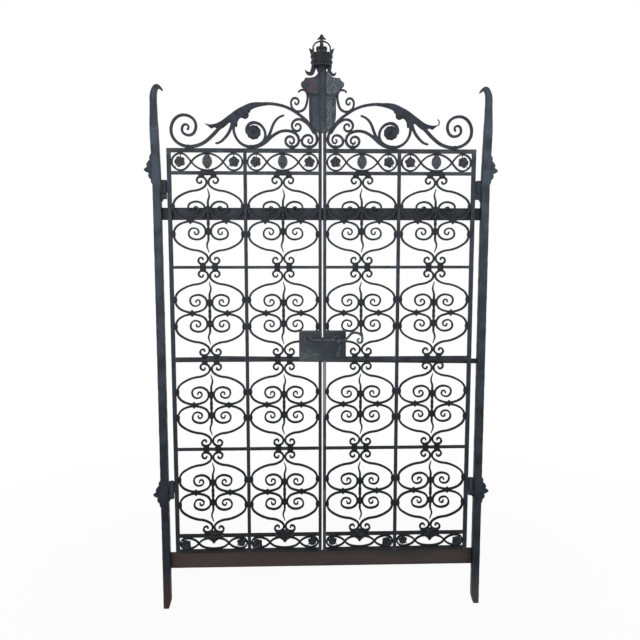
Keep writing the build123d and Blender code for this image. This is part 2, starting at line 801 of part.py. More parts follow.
def lever_case():
    """The right case with the escutcheon, its keyhole and the pin that the lever turns on."""
    step = latch_stand_off - 2 * latch_pin_fit
    head = latch_depth + latch_stand_off + latch_pin_fit
    case = other_side(lock_case())
    case = case + turned(pivot_x, case_front - step, pivot_z, latch_boss_radius - latch_boss_step, step)
    case = case + turned(pivot_x, case_front - head, pivot_z, latch_pin_radius, head)
    key_x = pivot_x - 0.3 * latch_boss_radius
    key_z = case_bottom + 0.18 * case_height
    raised = case_front - escutcheon_thickness
    case = case + turned(key_x, raised, key_z, escutcheon_radius, escutcheon_thickness)
    start = (pivot_x + latch_boss_radius / 2, pivot_z - 1.4 * latch_boss_radius, -100)
    tail = Pen((0, 0), (1, 1), start).through((key_x, key_z + escutcheon_radius / 2, -100))
    case = case + plate(tail.ribbon(escutcheon_tip_width, 1.2 * escutcheon_radius), raised, case_front)
    depth = 2 * escutcheon_thickness
    half = keyhole_width / 2
    hole = turned(key_x, raised, key_z + half, half, depth)
    slot_foot = key_z - 1.3 * keyhole_width
    slot = block(key_x - half / 2, key_x + half / 2, raised, raised + depth, slot_foot, key_z + half)
    return case - hole - slot


def latch_lever():
    """The lever: a nose to the seam, a boss on the pin and an arched handle with a curled end."""
    nose = seam + latch_seam_clear + latch_bar / 2
    reach = pivot_x - nose
    left = Pen((pivot_x, latch_height), (reach, reach), (0, 0, 180)).through((-1, 0, 180))
    right = Pen((pivot_x, pivot_z), (handle_reach, handle_reach), (0, 0, 0))
    right.through((0.27, 0.03, 28), (0.7, 0.3, 0), (1, 0.1, -85), (0.9, -0.13, 180), (0.79, -0.02, 90))
    drawing = joined([left.ribbon(latch_bar), right.ribbon(latch_bar, 0.8 * latch_bar)])
    lever = plate(drawing, lever_front, lever_back)
    lever = lever + turned(pivot_x, lever_front, pivot_z, latch_boss_radius, latch_depth)
    return lever - turned(pivot_x, lever_front, pivot_z, latch_pin_radius + latch_pin_fit, latch_depth)


# ---------------------------------------------------------------- posts and ties

def post():
    """The left post: square shaft with a chamfered foot, a tapered neck and a beak bent inwards."""
    shaft = block(-half_post, half_post, -half_post, half_post, 0, post_shoulder_height)
    inner_foot = shaft.edges().filter_by(Axis.Y).sort_by(Axis.Z)[:2].sort_by(Axis.X)[-1]
    shaft = chamfer(inner_foot, post_foot_chamfer)
    neck_half = post_neck_width / 2
    neck = loft([
        Pos(0, 0, post_shoulder_height) * Rectangle(post_width, post_width),
        Pos(0, 0, post_neck_height) * Rectangle(post_neck_width, post_neck_width),
    ])
    low = post_neck_height
    peak = (0.52 * post_neck_width, low + beak_rise)
    tip = (beak_reach, low + 0.54 * beak_rise)
    under = (neck_half, low + 0.3 * beak_rise)
    beak = make_face([
        ThreePointArc((-neck_half, low), (-0.22 * post_neck_width, low + 0.64 * beak_rise), peak),
        ThreePointArc(peak, (0.5 * (peak[0] + tip[0]) + 3, low + 0.88 * beak_rise), tip),
        ThreePointArc(tip, (0.5 * (under[0] + tip[0]), low + 0.58 * beak_rise), under),
        Line(under, (neck_half, low)),
        Line((neck_half, low), (-neck_half, low)),
    ])
    return shaft + neck + upright(beak, beak_depth)


def post_ornaments():
    """The lobed leaves on the outer face of the left post."""
    pieces = []
    for middle in ornament_heights:
        low = middle - ornament_length / 2
        face = -half_post
        stops = [(0, 0), (0.62, 0.1), (0.52, 0.28), (1, 0.5), (0.56, 0.72), (0.6, 0.88), (0, 1)]
        spots = [(face - reach * ornament_reach, low + rise * ornament_length) for reach, rise in stops]
        outline = make_face([
            ThreePointArc(spots[0], spots[1], spots[2]),
            ThreePointArc(spots[2], spots[3], spots[4]),
            ThreePointArc(spots[4], spots[5], spots[6]),
            Line(spots[6], spots[0]),
        ])
        pieces.append(upright(outline, ornament_depth))
    return pieces


def tie(bottom, height):
    """A flat bar on the backs of both posts."""
    return block(-tie_overhang, post_spacing + tie_overhang, half_post, half_post + tie_thickness,
                 bottom, bottom + height)


def rear_bar():
    """The bar behind the middle rails, carried by the right post and a little lower there."""
    mid_rail_bottom = row_bottom(2) - mid_rail_height
    right = post_spacing + tie_overhang
    high = mid_rail_bottom + mid_rail_height
    outline = make_face(Polyline(
        (right - rear_bar_length, high), (right, high - rear_bar_drop),
        (right, high - rear_bar_drop - rear_bar_height), (right - rear_bar_length, high - rear_bar_height),
        close=True).edges())
    return plate(outline, half_post, half_post + tie_thickness)


# ---------------------------------------------------------------- leaf bars

def rails():
    """The short rails of both bays and the long top rail."""
    half = leaf_depth / 2
    levels = [(leaf_bottom, bottom_rail_height), (base_rail_bottom, base_rail_height)]
    for row, height in ((1, row_rail_height), (2, mid_rail_height), (3, row_rail_height)):
        levels.append((row_bottom(row) - height, height))
    levels.append((frieze_rail_bottom, frieze_rail_height))
    pieces = []
    for bottom, height in levels:
        for x in bay_middles:
            pieces.append(block(x - bay_half, x + bay_half, -half, half, bottom, bottom + height))
    pieces.append(block(leaf_left, meeting_left, -half, half, top_rail_bottom, leaf_top))
    return pieces


def leaf_bar(left, width, top):
    """An upright bar of a leaf from its foot to a height."""
    half = leaf_depth / 2
    return block(left, left + width, -half, half, leaf_bottom, top)


panel = scroll_panel()
row = scroll_row()

leaf_pieces = {
    "hinge_stile": leaf_bar(leaf_left, hinge_stile_width, top_rail_bottom),
    "middle_upright": leaf_bar(upright_x - upright_width / 2, upright_width, top_rail_bottom),
    "meeting_stile": leaf_bar(meeting_left, meeting_stile_width, shield_top - shield_border),
    "rails": rails(),
    "upper_frieze": frieze(upper_frieze_bottom, upper_frieze_clear, rosette_radius, grape_cluster()),
    "lower_frieze": frieze(lower_frieze_bottom, lower_frieze_clear, 0.8 * rosette_radius, leaf_pendant()),
    "crest_scrolls": crest_scrolls(),
    "crest_leaf": crest_leaf(),
    "shield": shield(),
    "hinge_eyes": hinge_eyes(),
}
for number in range(row_count):
    leaf_pieces[f"scroll_row_{row_count - number}"] = Pos(0, 0, row_bottom(number) - rows_bottom) * row

frame_pieces = {
    "post": post(),
    "post_ornaments": post_ornaments(),
    "pintles": pintles(),
}



def gathered(items):
    """All the solids of some shapes as one body to export."""
    return Compound(children=[solid for item in items for solid in item.solids()])


shapes = {}
for name, shape in {**leaf_pieces, **frame_pieces}.items():
    items = shape if isinstance(shape, list) else [shape]
    shapes[f"{name}_left"] = gathered(items)
    shapes[f"{name}_right"] = gathered([other_side(item) for item in items])
shapes["crown"] = crown()
shapes["keeper_case"] = keeper_case()
shapes["lever_case"] = lever_case()
shapes["latch_lever"] = latch_lever()
shapes["crossbar_upper"] = tie(upper_tie_bottom, upper_tie_height)
shapes["crossbar_lower"] = tie(lower_tie_bottom, lower_tie_height)
shapes["rear_bar"] = rear_bar()

for name, shape in shapes.items():
    export_step(shape, f"parts/{name}.step")
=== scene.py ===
import math
import bpy
import numpy as np
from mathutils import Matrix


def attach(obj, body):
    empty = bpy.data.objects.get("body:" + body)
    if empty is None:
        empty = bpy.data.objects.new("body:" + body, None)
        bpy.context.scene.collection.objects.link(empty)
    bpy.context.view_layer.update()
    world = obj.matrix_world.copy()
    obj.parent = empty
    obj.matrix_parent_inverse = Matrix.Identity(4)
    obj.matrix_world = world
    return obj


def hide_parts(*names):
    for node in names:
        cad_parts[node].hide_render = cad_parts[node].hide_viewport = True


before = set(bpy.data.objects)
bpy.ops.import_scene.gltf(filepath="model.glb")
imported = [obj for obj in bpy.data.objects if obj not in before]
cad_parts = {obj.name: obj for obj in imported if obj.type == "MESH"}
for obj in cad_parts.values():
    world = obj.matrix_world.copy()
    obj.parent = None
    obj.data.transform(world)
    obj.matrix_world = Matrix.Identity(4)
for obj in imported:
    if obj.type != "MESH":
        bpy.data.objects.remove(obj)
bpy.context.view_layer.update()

# Posts. Two square posts of solid wrought iron, hammered flat on all four faces, drawn
# thinner above the shoulder and bent inwards at the top like a beak. Old blue-grey paint
# covers them, with bare primer where they have stood in the ground.
mm = 0.001  # in metres: lengths are in millimetres up to the mesh, and in the materials too
post_spacing = 1920
seam = post_spacing / 2
post_width = 46
post_corner = 4
shoulder_height = 2900
neck_height = 3060
foot_taper = 12
beak_depth = 34
post_lean = 9
lean_start = 2560
lean_height = 420
post_paint = "#262e39"
post_worn = "#404b5a"
primer_red = "#44332f"
zinc_grey = "#444749"
darkening_top = 3000
darkening_full = 200


def linear(code):
    """An sRGB hex colour as the linear colour that a shader takes."""
    shares = np.array([int(code[i:i + 2], 16) for i in (1, 3, 5)]) / 255
    bent = np.where(shares <= 0.04045, shares / 12.92, ((shares + 0.055) / 1.055) ** 2.4)
    return (*bent.tolist(), 1.0)


def feed(node, inputs):
    """Sets a node's inputs: a number, a hex colour, a socket, or a node for its first output in use."""
    for key, value in inputs.items():
        if isinstance(value, bpy.types.Node):
            value = next(output for output in value.outputs if output.enabled)
        if isinstance(value, bpy.types.NodeSocket):
            node.id_data.links.new(value, node.inputs[key])
        else:
            node.inputs[key].default_value = linear(value) if isinstance(value, str) else value
    return node


def add(tree, kind, inputs={}, **settings):
    """Adds a node with its settings and its inputs."""
    made = tree.nodes.new("ShaderNode" + kind)
    for key, value in settings.items():
        setattr(made, key, value)
    return feed(made, inputs)


def share(tree, *steps):
    """The product of smooth steps. A step is a value, where it leaves 0, where it reaches its top,
    and that top unless it is 1. A node among the steps is a factor as it is."""
    product = None
    for step in steps:
        if isinstance(step, tuple):
            value, start, end, top = (*step, 1.0)[:4]
            step = add(tree, "MapRange", {"Value": value, "From Min": start, "From Max": end, "To Max": top},
                       interpolation_type="SMOOTHSTEP")
        product = add(tree, "Math", {0: product, 1: step}, operation="MULTIPLY") if product else step
    return product


def layer(tree, under, over, *steps):
    """A colour laid over another by the share that the steps give."""
    return add(tree, "Mix", {0: share(tree, *steps), 6: under, 7: over}, data_type="RGBA")


def clouds(tree, place, grain, detail=3.0, squeeze=(1, 1, 1)):
    """Noise whose blotches are about grain millimetres across, and longer where squeeze is below 1."""
    spread = add(tree, "Mapping", {"Vector": place, "Scale": squeeze})
    return add(tree, "TexNoise", {"Vector": spread, "Scale": 1 / grain, "Detail": detail})


def forge_paint(name, paint, worn, side="#15171a", hammer_mark=22, dent=0.6, rough=0.5, dust_and_top_light=0.3, rub=0.5,
                low_darkening=0.0, extra=None):
    """Brushed oil paint over hammered wrought iron.

    The coat is satin and uneven in tone, and painted shade darkens the narrow sides. It is rubbed
    through to a paler grey on the ridges, and dust with a painted highlight lies on what faces up.
    It is made darker and duller towards the ground. The hammer's marks and the brush's grain are
    bumps.
    """
    made = bpy.data.materials.new(name)
    made.use_nodes = True
    tree = made.node_tree
    texture = add(tree, "TexCoord")
    place = add(tree, "Mapping", {"Vector": texture.outputs["Object"], "Scale": (1 / mm, 1 / mm, 1 / mm)})
    x, _, z = add(tree, "SeparateXYZ", {0: place}).outputs
    _, forward, upward = add(tree, "SeparateXYZ", {0: texture.outputs["Normal"]}).outputs
    flat = add(tree, "Math", {0: forward}, operation="ABSOLUTE")
    ridge = add(tree, "NewGeometry").outputs["Pointiness"]
    blotch = clouds(tree, place, 3 * hammer_mark)
    speck = clouds(tree, place, 4, 5.0)
    colour = layer(tree, paint, worn, (blotch, 0.36, 0.64))
    # Painted shade: the narrow sides, which turn away from the front, are darkened.
    colour = layer(tree, colour, side, (flat, 0.95, 0.35, 0.85))
    colour = layer(tree, colour, "#6d747c", (ridge, 0.52, 0.6, rub), (speck, 0.35, 0.6))
    # Dust, with a painted highlight, on what faces up.
    colour = layer(tree, colour, "#5f6264", (upward, 0.35, 0.95, dust_and_top_light), (speck, 0.3, 0.7))
    # Darker towards the ground, fully so at the lower height.
    colour = layer(tree, colour, "#07080a", (z, darkening_top, darkening_full, low_darkening))
    if extra:
        colour = extra(tree, place, x, z, colour)
    marks = add(tree, "TexVoronoi", {"Vector": place, "Scale": 1 / hammer_mark, "Smoothness": 0.6},
                feature="SMOOTH_F1")
    dents = add(tree, "Bump", {"Strength": dent, "Distance": 1.2 * mm, "Height": marks})
    grain = add(tree, "Bump", {"Strength": 0.35, "Distance": 0.3 * mm, "Height": speck, "Normal": dents})
    sheen = add(tree, "MapRange", {"Value": blotch, "To Min": rough - 0.1, "To Max": rough + 0.15})
    shader = feed(tree.nodes["Principled BSDF"], {"Base Color": colour, "Normal": grain, "Roughness": sheen,
                                                  "Specular IOR Level": 0.3})
    if low_darkening:
        dull = add(tree, "MapRange", {"Value": z, "From Min": darkening_top, "From Max": darkening_full, "To Min": 0.3,
                                      "To Max": 0.3 - 0.25 * low_darkening}, interpolation_type="SMOOTHSTEP")
        feed(shader, {"Specular IOR Level": dull})
    return made


def foot_primer(tree, place, x, z, colour):
    """Bare red primer up the left foot and dull zinc up the right one, with a ragged edge."""
    ragged = add(tree, "Math", {0: clouds(tree, place, 60, 4.0), 1: -200, 2: z}, operation="MULTIPLY_ADD")
    bare = layer(tree, primer_red, zinc_grey, (x, 500, 1500))
    return layer(tree, colour, bare, (ragged, 160, -20, 0.75))


def bent_line(origin, size, knots, spacing=6):
    """The middle line of a bent bar as x, z, heading and run, in the plane of the leaf.

    A knot is a place, as shares of a frame's width and height, and a heading in degrees from
    +X towards +Z. Between two knots the bar runs on two arcs that share a tangent: each half
    has a chord and a swing, and the heading turns by twice the swing.
    """
    knots = np.array(knots, float)
    places = np.array(origin) + knots[:, :2] * np.array(size)
    ways = np.radians(knots[:, 2])
    aims = np.stack([np.cos(ways), np.sin(ways)], axis=1)
    gap, start, end = places[1:] - places[:-1], aims[:-1], aims[1:]
    both = (gap * (start + end)).sum(1)
    spread = 2 * (1 - (start * end).sum(1))
    square = (gap ** 2).sum(1)
    even = spread < 1e-6
    reach = np.where(even, square / (4 * (gap * end).sum(1) + 1e-12 * even),
                     (np.sqrt(both ** 2 + spread * square) - both) / np.where(even, 1, spread))
    joints = (places[:-1] + places[1:] + (start - end) * reach[:, None]) / 2
    stops = np.empty((2 * len(knots) - 1, 2))
    stops[0::2], stops[1::2] = places, joints
    chord = np.diff(stops, axis=0)
    aim = np.arctan2(chord[:, 1], chord[:, 0])
    heading = np.empty(len(aim))
    heading[0::2] = ways[:-1]
    first = (aim[0::2] - heading[0::2] + np.pi) % (2 * np.pi) - np.pi
    heading[1::2] = heading[0::2] + 2 * first
    swing = (aim - heading + np.pi) % (2 * np.pi) - np.pi
    chord = np.hypot(chord[:, 0], chord[:, 1])
    length = chord / np.sinc(swing / np.pi)
    counts = np.maximum(np.ceil(np.maximum(length / spacing, np.abs(swing) * 9)), 1).astype(int)
    arc = np.repeat(np.arange(len(counts)), counts)
    done = (np.arange(counts.sum()) - np.repeat(np.cumsum(counts) - counts, counts)) / counts[arc]
    arc, done = np.append(arc, len(counts) - 1), np.append(done, 1.0)
    step = chord[arc] * done * np.sinc(done * swing[arc] / np.pi) / np.sinc(swing[arc] / np.pi)
    aimed = heading[arc] + done * swing[arc]
    x = stops[arc, 0] + step * np.cos(aimed)
    z = stops[arc, 1] + step * np.sin(aimed)
    run = (np.cumsum(length) - length)[arc] + done * length[arc]
    return x, z, heading[arc] + 2 * done * swing[arc], run


def hammer(run, turn, pitch, seed):
    """Uneven faces left by the hammer, from -1 to 1: waves that cross along and round the bar."""
    rates = np.array([1.0, 1.62, 2.41, 0.58, 3.3])
    lobes = np.array([1, 2, 1, 3, 2])
    angle = 2 * np.pi * run[..., None] * rates / pitch + lobes * turn[..., None] + seed * (1.3 + rates)
    return np.sin(angle).mean(axis=-1)


def rings(x, y, z):
    """Rows of rings of points, from coordinates that need not all vary both ways."""
    return np.stack(np.broadcast_arrays(x, y, z), axis=-1)


def forged_bar(line, widths, depth, corner=2, dent=0.25, pitch=70, middle=0, tips="", twist=0):
    """The skin of a bar: a rectangle with rounded corners, carried along the line.

    The widths are spread evenly over the length. tips names the ends that are rounded off,
    "start", "end" or both, by shrinking the last rings as a half circle does. middle is the
    bar's own depth in the leaf, and twist turns the section about the line, in turns.
    """
    x, z, heading, run = line
    total = run[-1]
    widths = np.atleast_1d(widths)
    width = np.interp(run, np.linspace(0, total, len(widths)), widths)
    quarter = np.radians([12, 35, 60, 80])
    ahead, cap = np.cos(quarter), np.sin(quarter)
    before = -width[0] / 2 * (ahead if "start" in tips else ahead[:0])
    after = width[-1] / 2 * (ahead[::-1] if "end" in tips else ahead[:0])
    shrink = np.concatenate([cap[:len(before)], np.ones(len(run)), cap[::-1][:len(after)]])
    x = np.concatenate([x[0] + before * np.cos(heading[0]), x, x[-1] + after * np.cos(heading[-1])])
    z = np.concatenate([z[0] + before * np.sin(heading[0]), z, z[-1] + after * np.sin(heading[-1])])
    run = np.concatenate([run[0] + before, run, run[-1] + after])
    heading, width = [np.pad(values, (len(before), len(after)), mode="edge") for values in (heading, width)]
    angle = np.radians([5, 45, 85, 95, 135, 175, 185, 225, 265, 275, 315, 355])
    side, face = np.sign(np.cos(angle)), np.sign(np.sin(angle))
    half = (width / 2)[:, None]
    shrink = shrink[:, None]
    round_off = np.minimum(corner, 0.45 * half * shrink + 0.01)
    across = side * (half * shrink - round_off) + round_off * np.cos(angle)
    deep = face * (depth / 2 * (0.55 + 0.45 * shrink) - round_off) + round_off * np.sin(angle)
    bump = 1 + dent * hammer(run[:, None], angle[None, :], pitch, total * 0.037) / np.hypot(across, deep)
    across, deep = across * bump, deep * bump
    turn = (2 * np.pi * twist * run / total)[:, None]
    across, deep = across * np.cos(turn) - deep * np.sin(turn), across * np.sin(turn) + deep * np.cos(turn)
    normal = heading[:, None] + np.pi / 2
    return rings(x[:, None] + across * np.cos(normal), middle + deep, z[:, None] + across * np.sin(normal))


def straight(x0, z0, x1, z1, spacing=12):
    """The middle line of a straight bar."""
    heading = math.degrees(math.atan2(z1 - z0, x1 - x0))
    return bent_line((0, 0), (1, 1), [(x0, z0, heading), (x1, z1, heading)], spacing)


def other_side(skins):
    """The same skins on the other leaf or post."""
    return [skin * (-1, 1, 1) + (post_spacing, 0, 0) for skin in skins]


def forge(name, skins, body, finish, node, crease=40):
    """One mesh from closed skins, riding on a body and standing for a CAD node.

    A skin is rows of rings of points. A fan closes each end, and a skin whose volume comes
    out negative is turned round, so every face looks outwards.
    """
    points, corners, sizes, base = [], [], [], 0
    for skin in skins:
        rows, around, _ = skin.shape
        spots = np.concatenate([skin.reshape(-1, 3), skin[[0, -1]].mean(axis=1)])
        own = np.arange(rows * around).reshape(rows, around)
        beside = np.roll(own, -1, axis=1)
        quads = np.stack([own[:-1], beside[:-1], beside[1:], own[1:]], axis=-1).reshape(-1, 4)
        low = np.stack([np.full(around, rows * around), beside[0], own[0]], axis=-1)
        high = np.stack([np.full(around, rows * around + 1), own[-1], beside[-1]], axis=-1)
        fans = np.concatenate([low, high])
        triples = np.concatenate([quads[:, :3], quads[:, [0, 2, 3]], fans])
        centred = spots - spots.mean(axis=0)
        volume = np.einsum("ij,ij->", centred[triples[:, 0]],
                           np.cross(centred[triples[:, 1]], centred[triples[:, 2]]))
        if volume < 0:
            quads, fans = quads[:, ::-1], fans[:, ::-1]
        points.append(spots)
        corners += [base + quads.ravel(), base + fans.ravel()]
        sizes += [np.full(len(quads), 4), np.full(len(fans), 3)]
        base += len(spots)
    points, corners, sizes = np.concatenate(points) * mm, np.concatenate(corners), np.concatenate(sizes)
    mesh = bpy.data.meshes.new(name)
    mesh.vertices.add(len(points))
    mesh.vertices.foreach_set("co", points.astype(np.float32).ravel())
    mesh.loops.add(len(corners))
    mesh.loops.foreach_set("vertex_index", corners.astype(np.int32))
    mesh.polygons.add(len(sizes))
    mesh.polygons.foreach_set("loop_start", (np.cumsum(sizes) - sizes).astype(np.int32))
    mesh.update(calc_edges=True)
    mesh.validate()
    mesh.set_sharp_from_angle(angle=math.radians(crease))
    mesh.materials.append(finish)
    piece = bpy.data.objects.new(name, mesh)
    bpy.context.scene.collection.objects.link(piece)
    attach(piece, body)
    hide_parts(node)


def forge_pair(name, skins, finish, node, swings=True, crease=40):
    """A piece on the left leaf or post, and its mirror image on the right one."""
    for side, turn in (("left", list), ("right", other_side)):
        forge(f"{side}_{name}", turn(skins), f"leaf_{side}" if swings else "frame", finish,
              f"{node}_{side}", crease)


def leaned(skins):
    """Moved outwards above the upper hinge by a smooth step of the height, as the post's head leans."""
    for skin in skins:
        rise = np.clip((skin[..., 2] - lean_start) / lean_height, 0, 1)
        skin[..., 0] -= post_lean * rise ** 2 * (3 - 2 * rise)
    return skins


def post():
    """The shaft with its tapered foot, the neck above the shoulder and the beak."""
    shaft = forged_bar(straight(0, 0, 0, shoulder_height, 15), post_width, post_width, post_corner,
                       dent=1.1, pitch=160)
    low = np.clip(1 - shaft[..., 2] / (4 * foot_taper), 0, 1)
    shaft[..., 0] = np.where(shaft[..., 0] > 0, shaft[..., 0] - foot_taper * low, shaft[..., 0])
    head = [(0, shoulder_height - 4, 90), (0, neck_height, 90), (9, neck_height + 60, 68),
            (28, neck_height + 75, -10), (51, neck_height + 57, -50)]
    line = bent_line((0, 0), (1, 1), head, 8)
    beak = forged_bar(line, [post_width, 43, 40, 38, 37, 30, 9], beak_depth,
                      post_corner, dent=0.8, pitch=120, tips="end")
    square = np.clip((beak[..., 2] - shoulder_height) / (neck_height - shoulder_height), 0, 1)
    beak[..., 1] *= (1 - square) * post_width / beak_depth + square
    return leaned([shaft, beak])


# Blue black oil paint over broad, deep hammer marks that break the light into soft patches.
post_finish = forge_paint("hammered_oil_painted_iron", post_paint, post_worn, hammer_mark=30, dent=1.0,
                          low_darkening=0.67, extra=foot_primer)
forge_pair("post", post(), post_finish, "post", swings=False)

# Leafy ornaments on the outer face of each post, one by each hinge. Each is a forged
# acanthus leaf with five rolled lobes, welded along its spine to the post.
ornament_heights = (728, 2676)
ornament_length = 190
ornament_reach = 49
ornament_depth = 30


def once_round(count):
    """Angles once round, as one row."""
    return np.linspace(0, 2 * np.pi, count, endpoint=False)[None, :]


def post_ornament(middle):
    """A leaf as rings stacked up the post: reach swells with five lobes, and veins groove the cheeks."""
    rise = np.linspace(0, 1, 90)[:, None]
    turn = once_round(32)
    envelope = np.sin(np.pi * rise) ** 0.8 * (0.62 + 0.38 * np.exp(-((rise - 0.52) / 0.13) ** 2))
    lobe = np.abs(np.sin(np.pi * (5 * rise + 0.1)))
    reach = ornament_reach * envelope * (0.66 + 0.34 * lobe ** 0.7) + 2
    half = ornament_depth / 2 * envelope ** 0.5 * (0.75 + 0.25 * lobe) + 1
    vein = 1 + 0.07 * np.cos(4 * turn) * lobe
    x = -post_width / 2 + 4 - reach * np.clip(np.cos(turn), -0.1, 1) * vein
    y = half * np.sign(np.sin(turn)) * np.abs(np.sin(turn)) ** 0.8 * vein
    droop = 12 * (reach / ornament_reach) * np.cos(turn)
    return rings(x, y, middle + (rise - 0.5) * ornament_length - droop * (1 - rise))


ornaments = leaned([post_ornament(height) for height in ornament_heights])
forge_pair("post_leaves", ornaments, post_finish, "post_ornaments", swings=False, crease=60)

# Hinges. A forged bracket on the post carries an upright pin, and the leaf's eye drops over
# it. The eye is a rolled barrel with a strap welded to the stile.
hinge_gap = 36
hinge_x = (post_width + hinge_gap) / 2
hinge_heights = (697, 2501)
bracket_height = 33
bracket_depth = 24
pin_radius = 6
pin_length = 66
eye_radius = 16
bracket_overhang = 13
eye_height = 77
strap_depth = 12
leaf_left = post_width / 2 + hinge_gap


def lathe(x, y, z, radii, heights, around=28, forwards=False):
    """A turned form: radii at heights along an upright axis, or along one towards the viewer."""
    radii, heights, turn = np.array(radii)[:, None], np.array(heights)[:, None], once_round(around)
    one, two = radii * np.cos(turn), radii * np.sin(turn)
    return rings(x + one, y - heights, z + two) if forwards else rings(x + one, y + two, z + heights)


def rivet(x, z, face, radius=5):
    """A round head on a front or back face."""
    t = np.radians([0, 25, 50, 75])
    return lathe(x, face, z, radius * np.cos(t), [-1, *0.6 * radius * np.sin(t[1:])], 12, forwards=True)


def pintle(bottom):
    """The bracket from the post to under the eye, and its pin."""
    level, top = bottom + bracket_height / 2, bottom + bracket_height
    arm = forged_bar(straight(post_width / 2 - 3, level, hinge_x + bracket_overhang, level, 4),
                     [38, 34, bracket_height], bracket_depth, 3)
    foot = lathe(post_width / 2 + 1, 0, bottom - 8, [3, 9, 11, 9], [-9, 0, 6, 10])
    pin = lathe(hinge_x, 0, top, [pin_radius, pin_radius, pin_radius - 1], [-2, pin_length - 2, pin_length])
    return [arm, foot, pin]


def hinge_eye(bottom):
    """The barrel over the pin, open below, and the strap to the stile."""
    low = bottom + bracket_height + 0.5
    bore, rim = pin_radius + 0.4, eye_radius - 1.5
    barrel = lathe(hinge_x, 0, low, [bore, bore, rim, eye_radius, eye_radius, rim, rim - 3],
                   [pin_length - 0.1, 0, 0, 1.5, eye_height - 4, eye_height - 1, eye_height])
    level = low + eye_height / 2
    strap = forged_bar(straight(hinge_x + eye_radius - 3, level, leaf_left + 2, level, 3),
                       [52, 60, 64], strap_depth, 3)
    return [barrel, strap]


# Oiled iron: dark, dull and hardly rubbed, so that the hinges sit back between post and leaf.
hinge_finish = forge_paint("dark_oiled_hinge_iron", "#1d2530", "#2e3745", hammer_mark=30, rough=0.55,
                           dust_and_top_light=0.05, rub=0.1, low_darkening=0.2)
pins = [skin for bottom in hinge_heights for skin in pintle(bottom)]
eyes = [skin for bottom in hinge_heights for skin in hinge_eye(bottom)]
forge_pair("pintles", pins, hinge_finish, "pintles", swings=False)
forge_pair("hinge_eyes", eyes, hinge_finish, "hinge_eyes")

# Tie bars behind the leaves. Two wide flats and a narrow one of old black iron that has
# weathered brown. The lower one is reddest at its left end and carries three rivets.
tie_back = post_width / 2
tie_thickness = 10
tie_overhang = 20
lower_tie = (240, 101)
upper_tie = (2382, 72)
rear_bar_height = 30
rear_bar_length = 1690
rear_bar_drop = 26
mid_rail_top = 1573
rust_brown = "#3a302e"
rust_dark = "#2a2727"


def brown_weathering(tree, place, x, z, painted):
    """Thin rust in long streaks over all the paint, redder to the left, and only faint on the upper bars."""
    left = (x, 1500, 100, 0.6)
    rust = layer(tree, rust_brown, rust_dark, (clouds(tree, place, 90, 5.0, (0.25, 1, 1.4)), 0.35, 0.65))
    rust = layer(tree, rust, "#3e3130", left)
    return layer(tree, rust, layer(tree, "#33363e", "#3e424c", left), (z, 1200, 1600, 0.88))


# Iron gone brown and matt, with long shallow marks from the rolls.
tie_finish = forge_paint("weathered_black_iron", rust_brown, rust_dark, hammer_mark=60, dent=0.3, rough=0.62,
                         extra=brown_weathering)


def tie(left, left_top, right, right_top, height, **forging):
    """A flat bar on the backs of the posts, by the place and the top of its two ends."""
    line = straight(left, left_top - height / 2, right, right_top - height / 2, 20)
    return forged_bar(line, height, tie_thickness, 1.5, middle=tie_back + tie_thickness / 2, **forging)


def crossbar(bottom, height):
    """A wide flat past both posts."""
    top = bottom + height
    return tie(-tie_overhang, top, post_spacing + tie_overhang, top, height, dent=0.4, pitch=300)


tie_rivets = [rivet(x, lower_tie[0] + lower_tie[1] / 2, tie_back, 6) for x in (0, seam - 5, post_spacing)]
rear_right = post_spacing + tie_overhang
rear = tie(rear_right - rear_bar_length, mid_rail_top, rear_right, mid_rail_top - rear_bar_drop,
           rear_bar_height)
lower = [crossbar(*lower_tie), *tie_rivets]
forge("lower_tie_bar", lower, "frame", tie_finish, "crossbar_lower")
forge("upper_tie_bar", [crossbar(*upper_tie)], "frame", tie_finish, "crossbar_upper")
forge("rear_bar_behind_rails", [rear], "frame", tie_finish, "rear_bar")

# The bars of a leaf. Stiles and rails of square iron, tenoned and riveted, then brushed with
# black oil paint. Their faces have weathered to a chalky grey, and painted shade darkens their edges.
hinge_stile_width = 24
upright_width = 20
meeting_stile_width = 19
leaf_depth = 20
leaf_bottom = 350
bay_left = leaf_left + hinge_stile_width
meeting_right = seam - 4
meeting_left = meeting_right - meeting_stile_width
bay_width = (meeting_left - bay_left - upright_width) / 2
bay_half = bay_width / 2
bay_middles = (bay_left + bay_half, meeting_left - bay_half)
upright_x = (bay_left + meeting_left) / 2
bottom_rail_height = 20
lower_frieze_clear = 78
base_rail_height = 20
row_rail_height = 17
mid_rail_height = 28
row_clear = 528
frieze_rail_height = 20
upper_frieze_clear = 106
top_rail_height = 24
tenon = 2
stile_rise = 423
rows_bottom = leaf_bottom + bottom_rail_height + lower_frieze_clear + base_rail_height
row_bottoms = [rows_bottom + n * row_clear + gap for n, gap in
               enumerate(np.cumsum([0, row_rail_height, mid_rail_height, row_rail_height]))]
frieze_rail_bottom = row_bottoms[3] + row_clear
upper_frieze_bottom = frieze_rail_bottom + frieze_rail_height
top_rail_bottom = upper_frieze_bottom + upper_frieze_clear
leaf_top = top_rail_bottom + top_rail_height
stile_top = leaf_top + stile_rise

# Satin black on the stiles, and the same paint gone chalky and paler on the rails.
bar_finish = forge_paint("brushed_black_iron_bar", "#1b222b", "#2f3845", hammer_mark=26, dent=0.8,
                         dust_and_top_light=0.4, rub=0.6, low_darkening=0.5)
rail_finish = forge_paint("chalky_black_iron_rail", "#242a31", "#444b51", hammer_mark=34, dent=0.8,
                          rough=0.58, rub=0.6, low_darkening=0.72)


def worn_bright(tree, place, x, z, colour):
    """Paint rubbed off the closing edge below the lock down to pale grey metal, less towards the foot."""
    patches = clouds(tree, place, 45, 5.0, (1, 1, 0.25))
    rubbed = add(tree, "Math", {0: patches, 1: share(tree, (z, 1050, 1500, 0.3))}, operation="ADD")
    return layer(tree, colour, "#8d8c90", (rubbed, 0.54, 0.78, 0.9), (z, 1560, 1530))


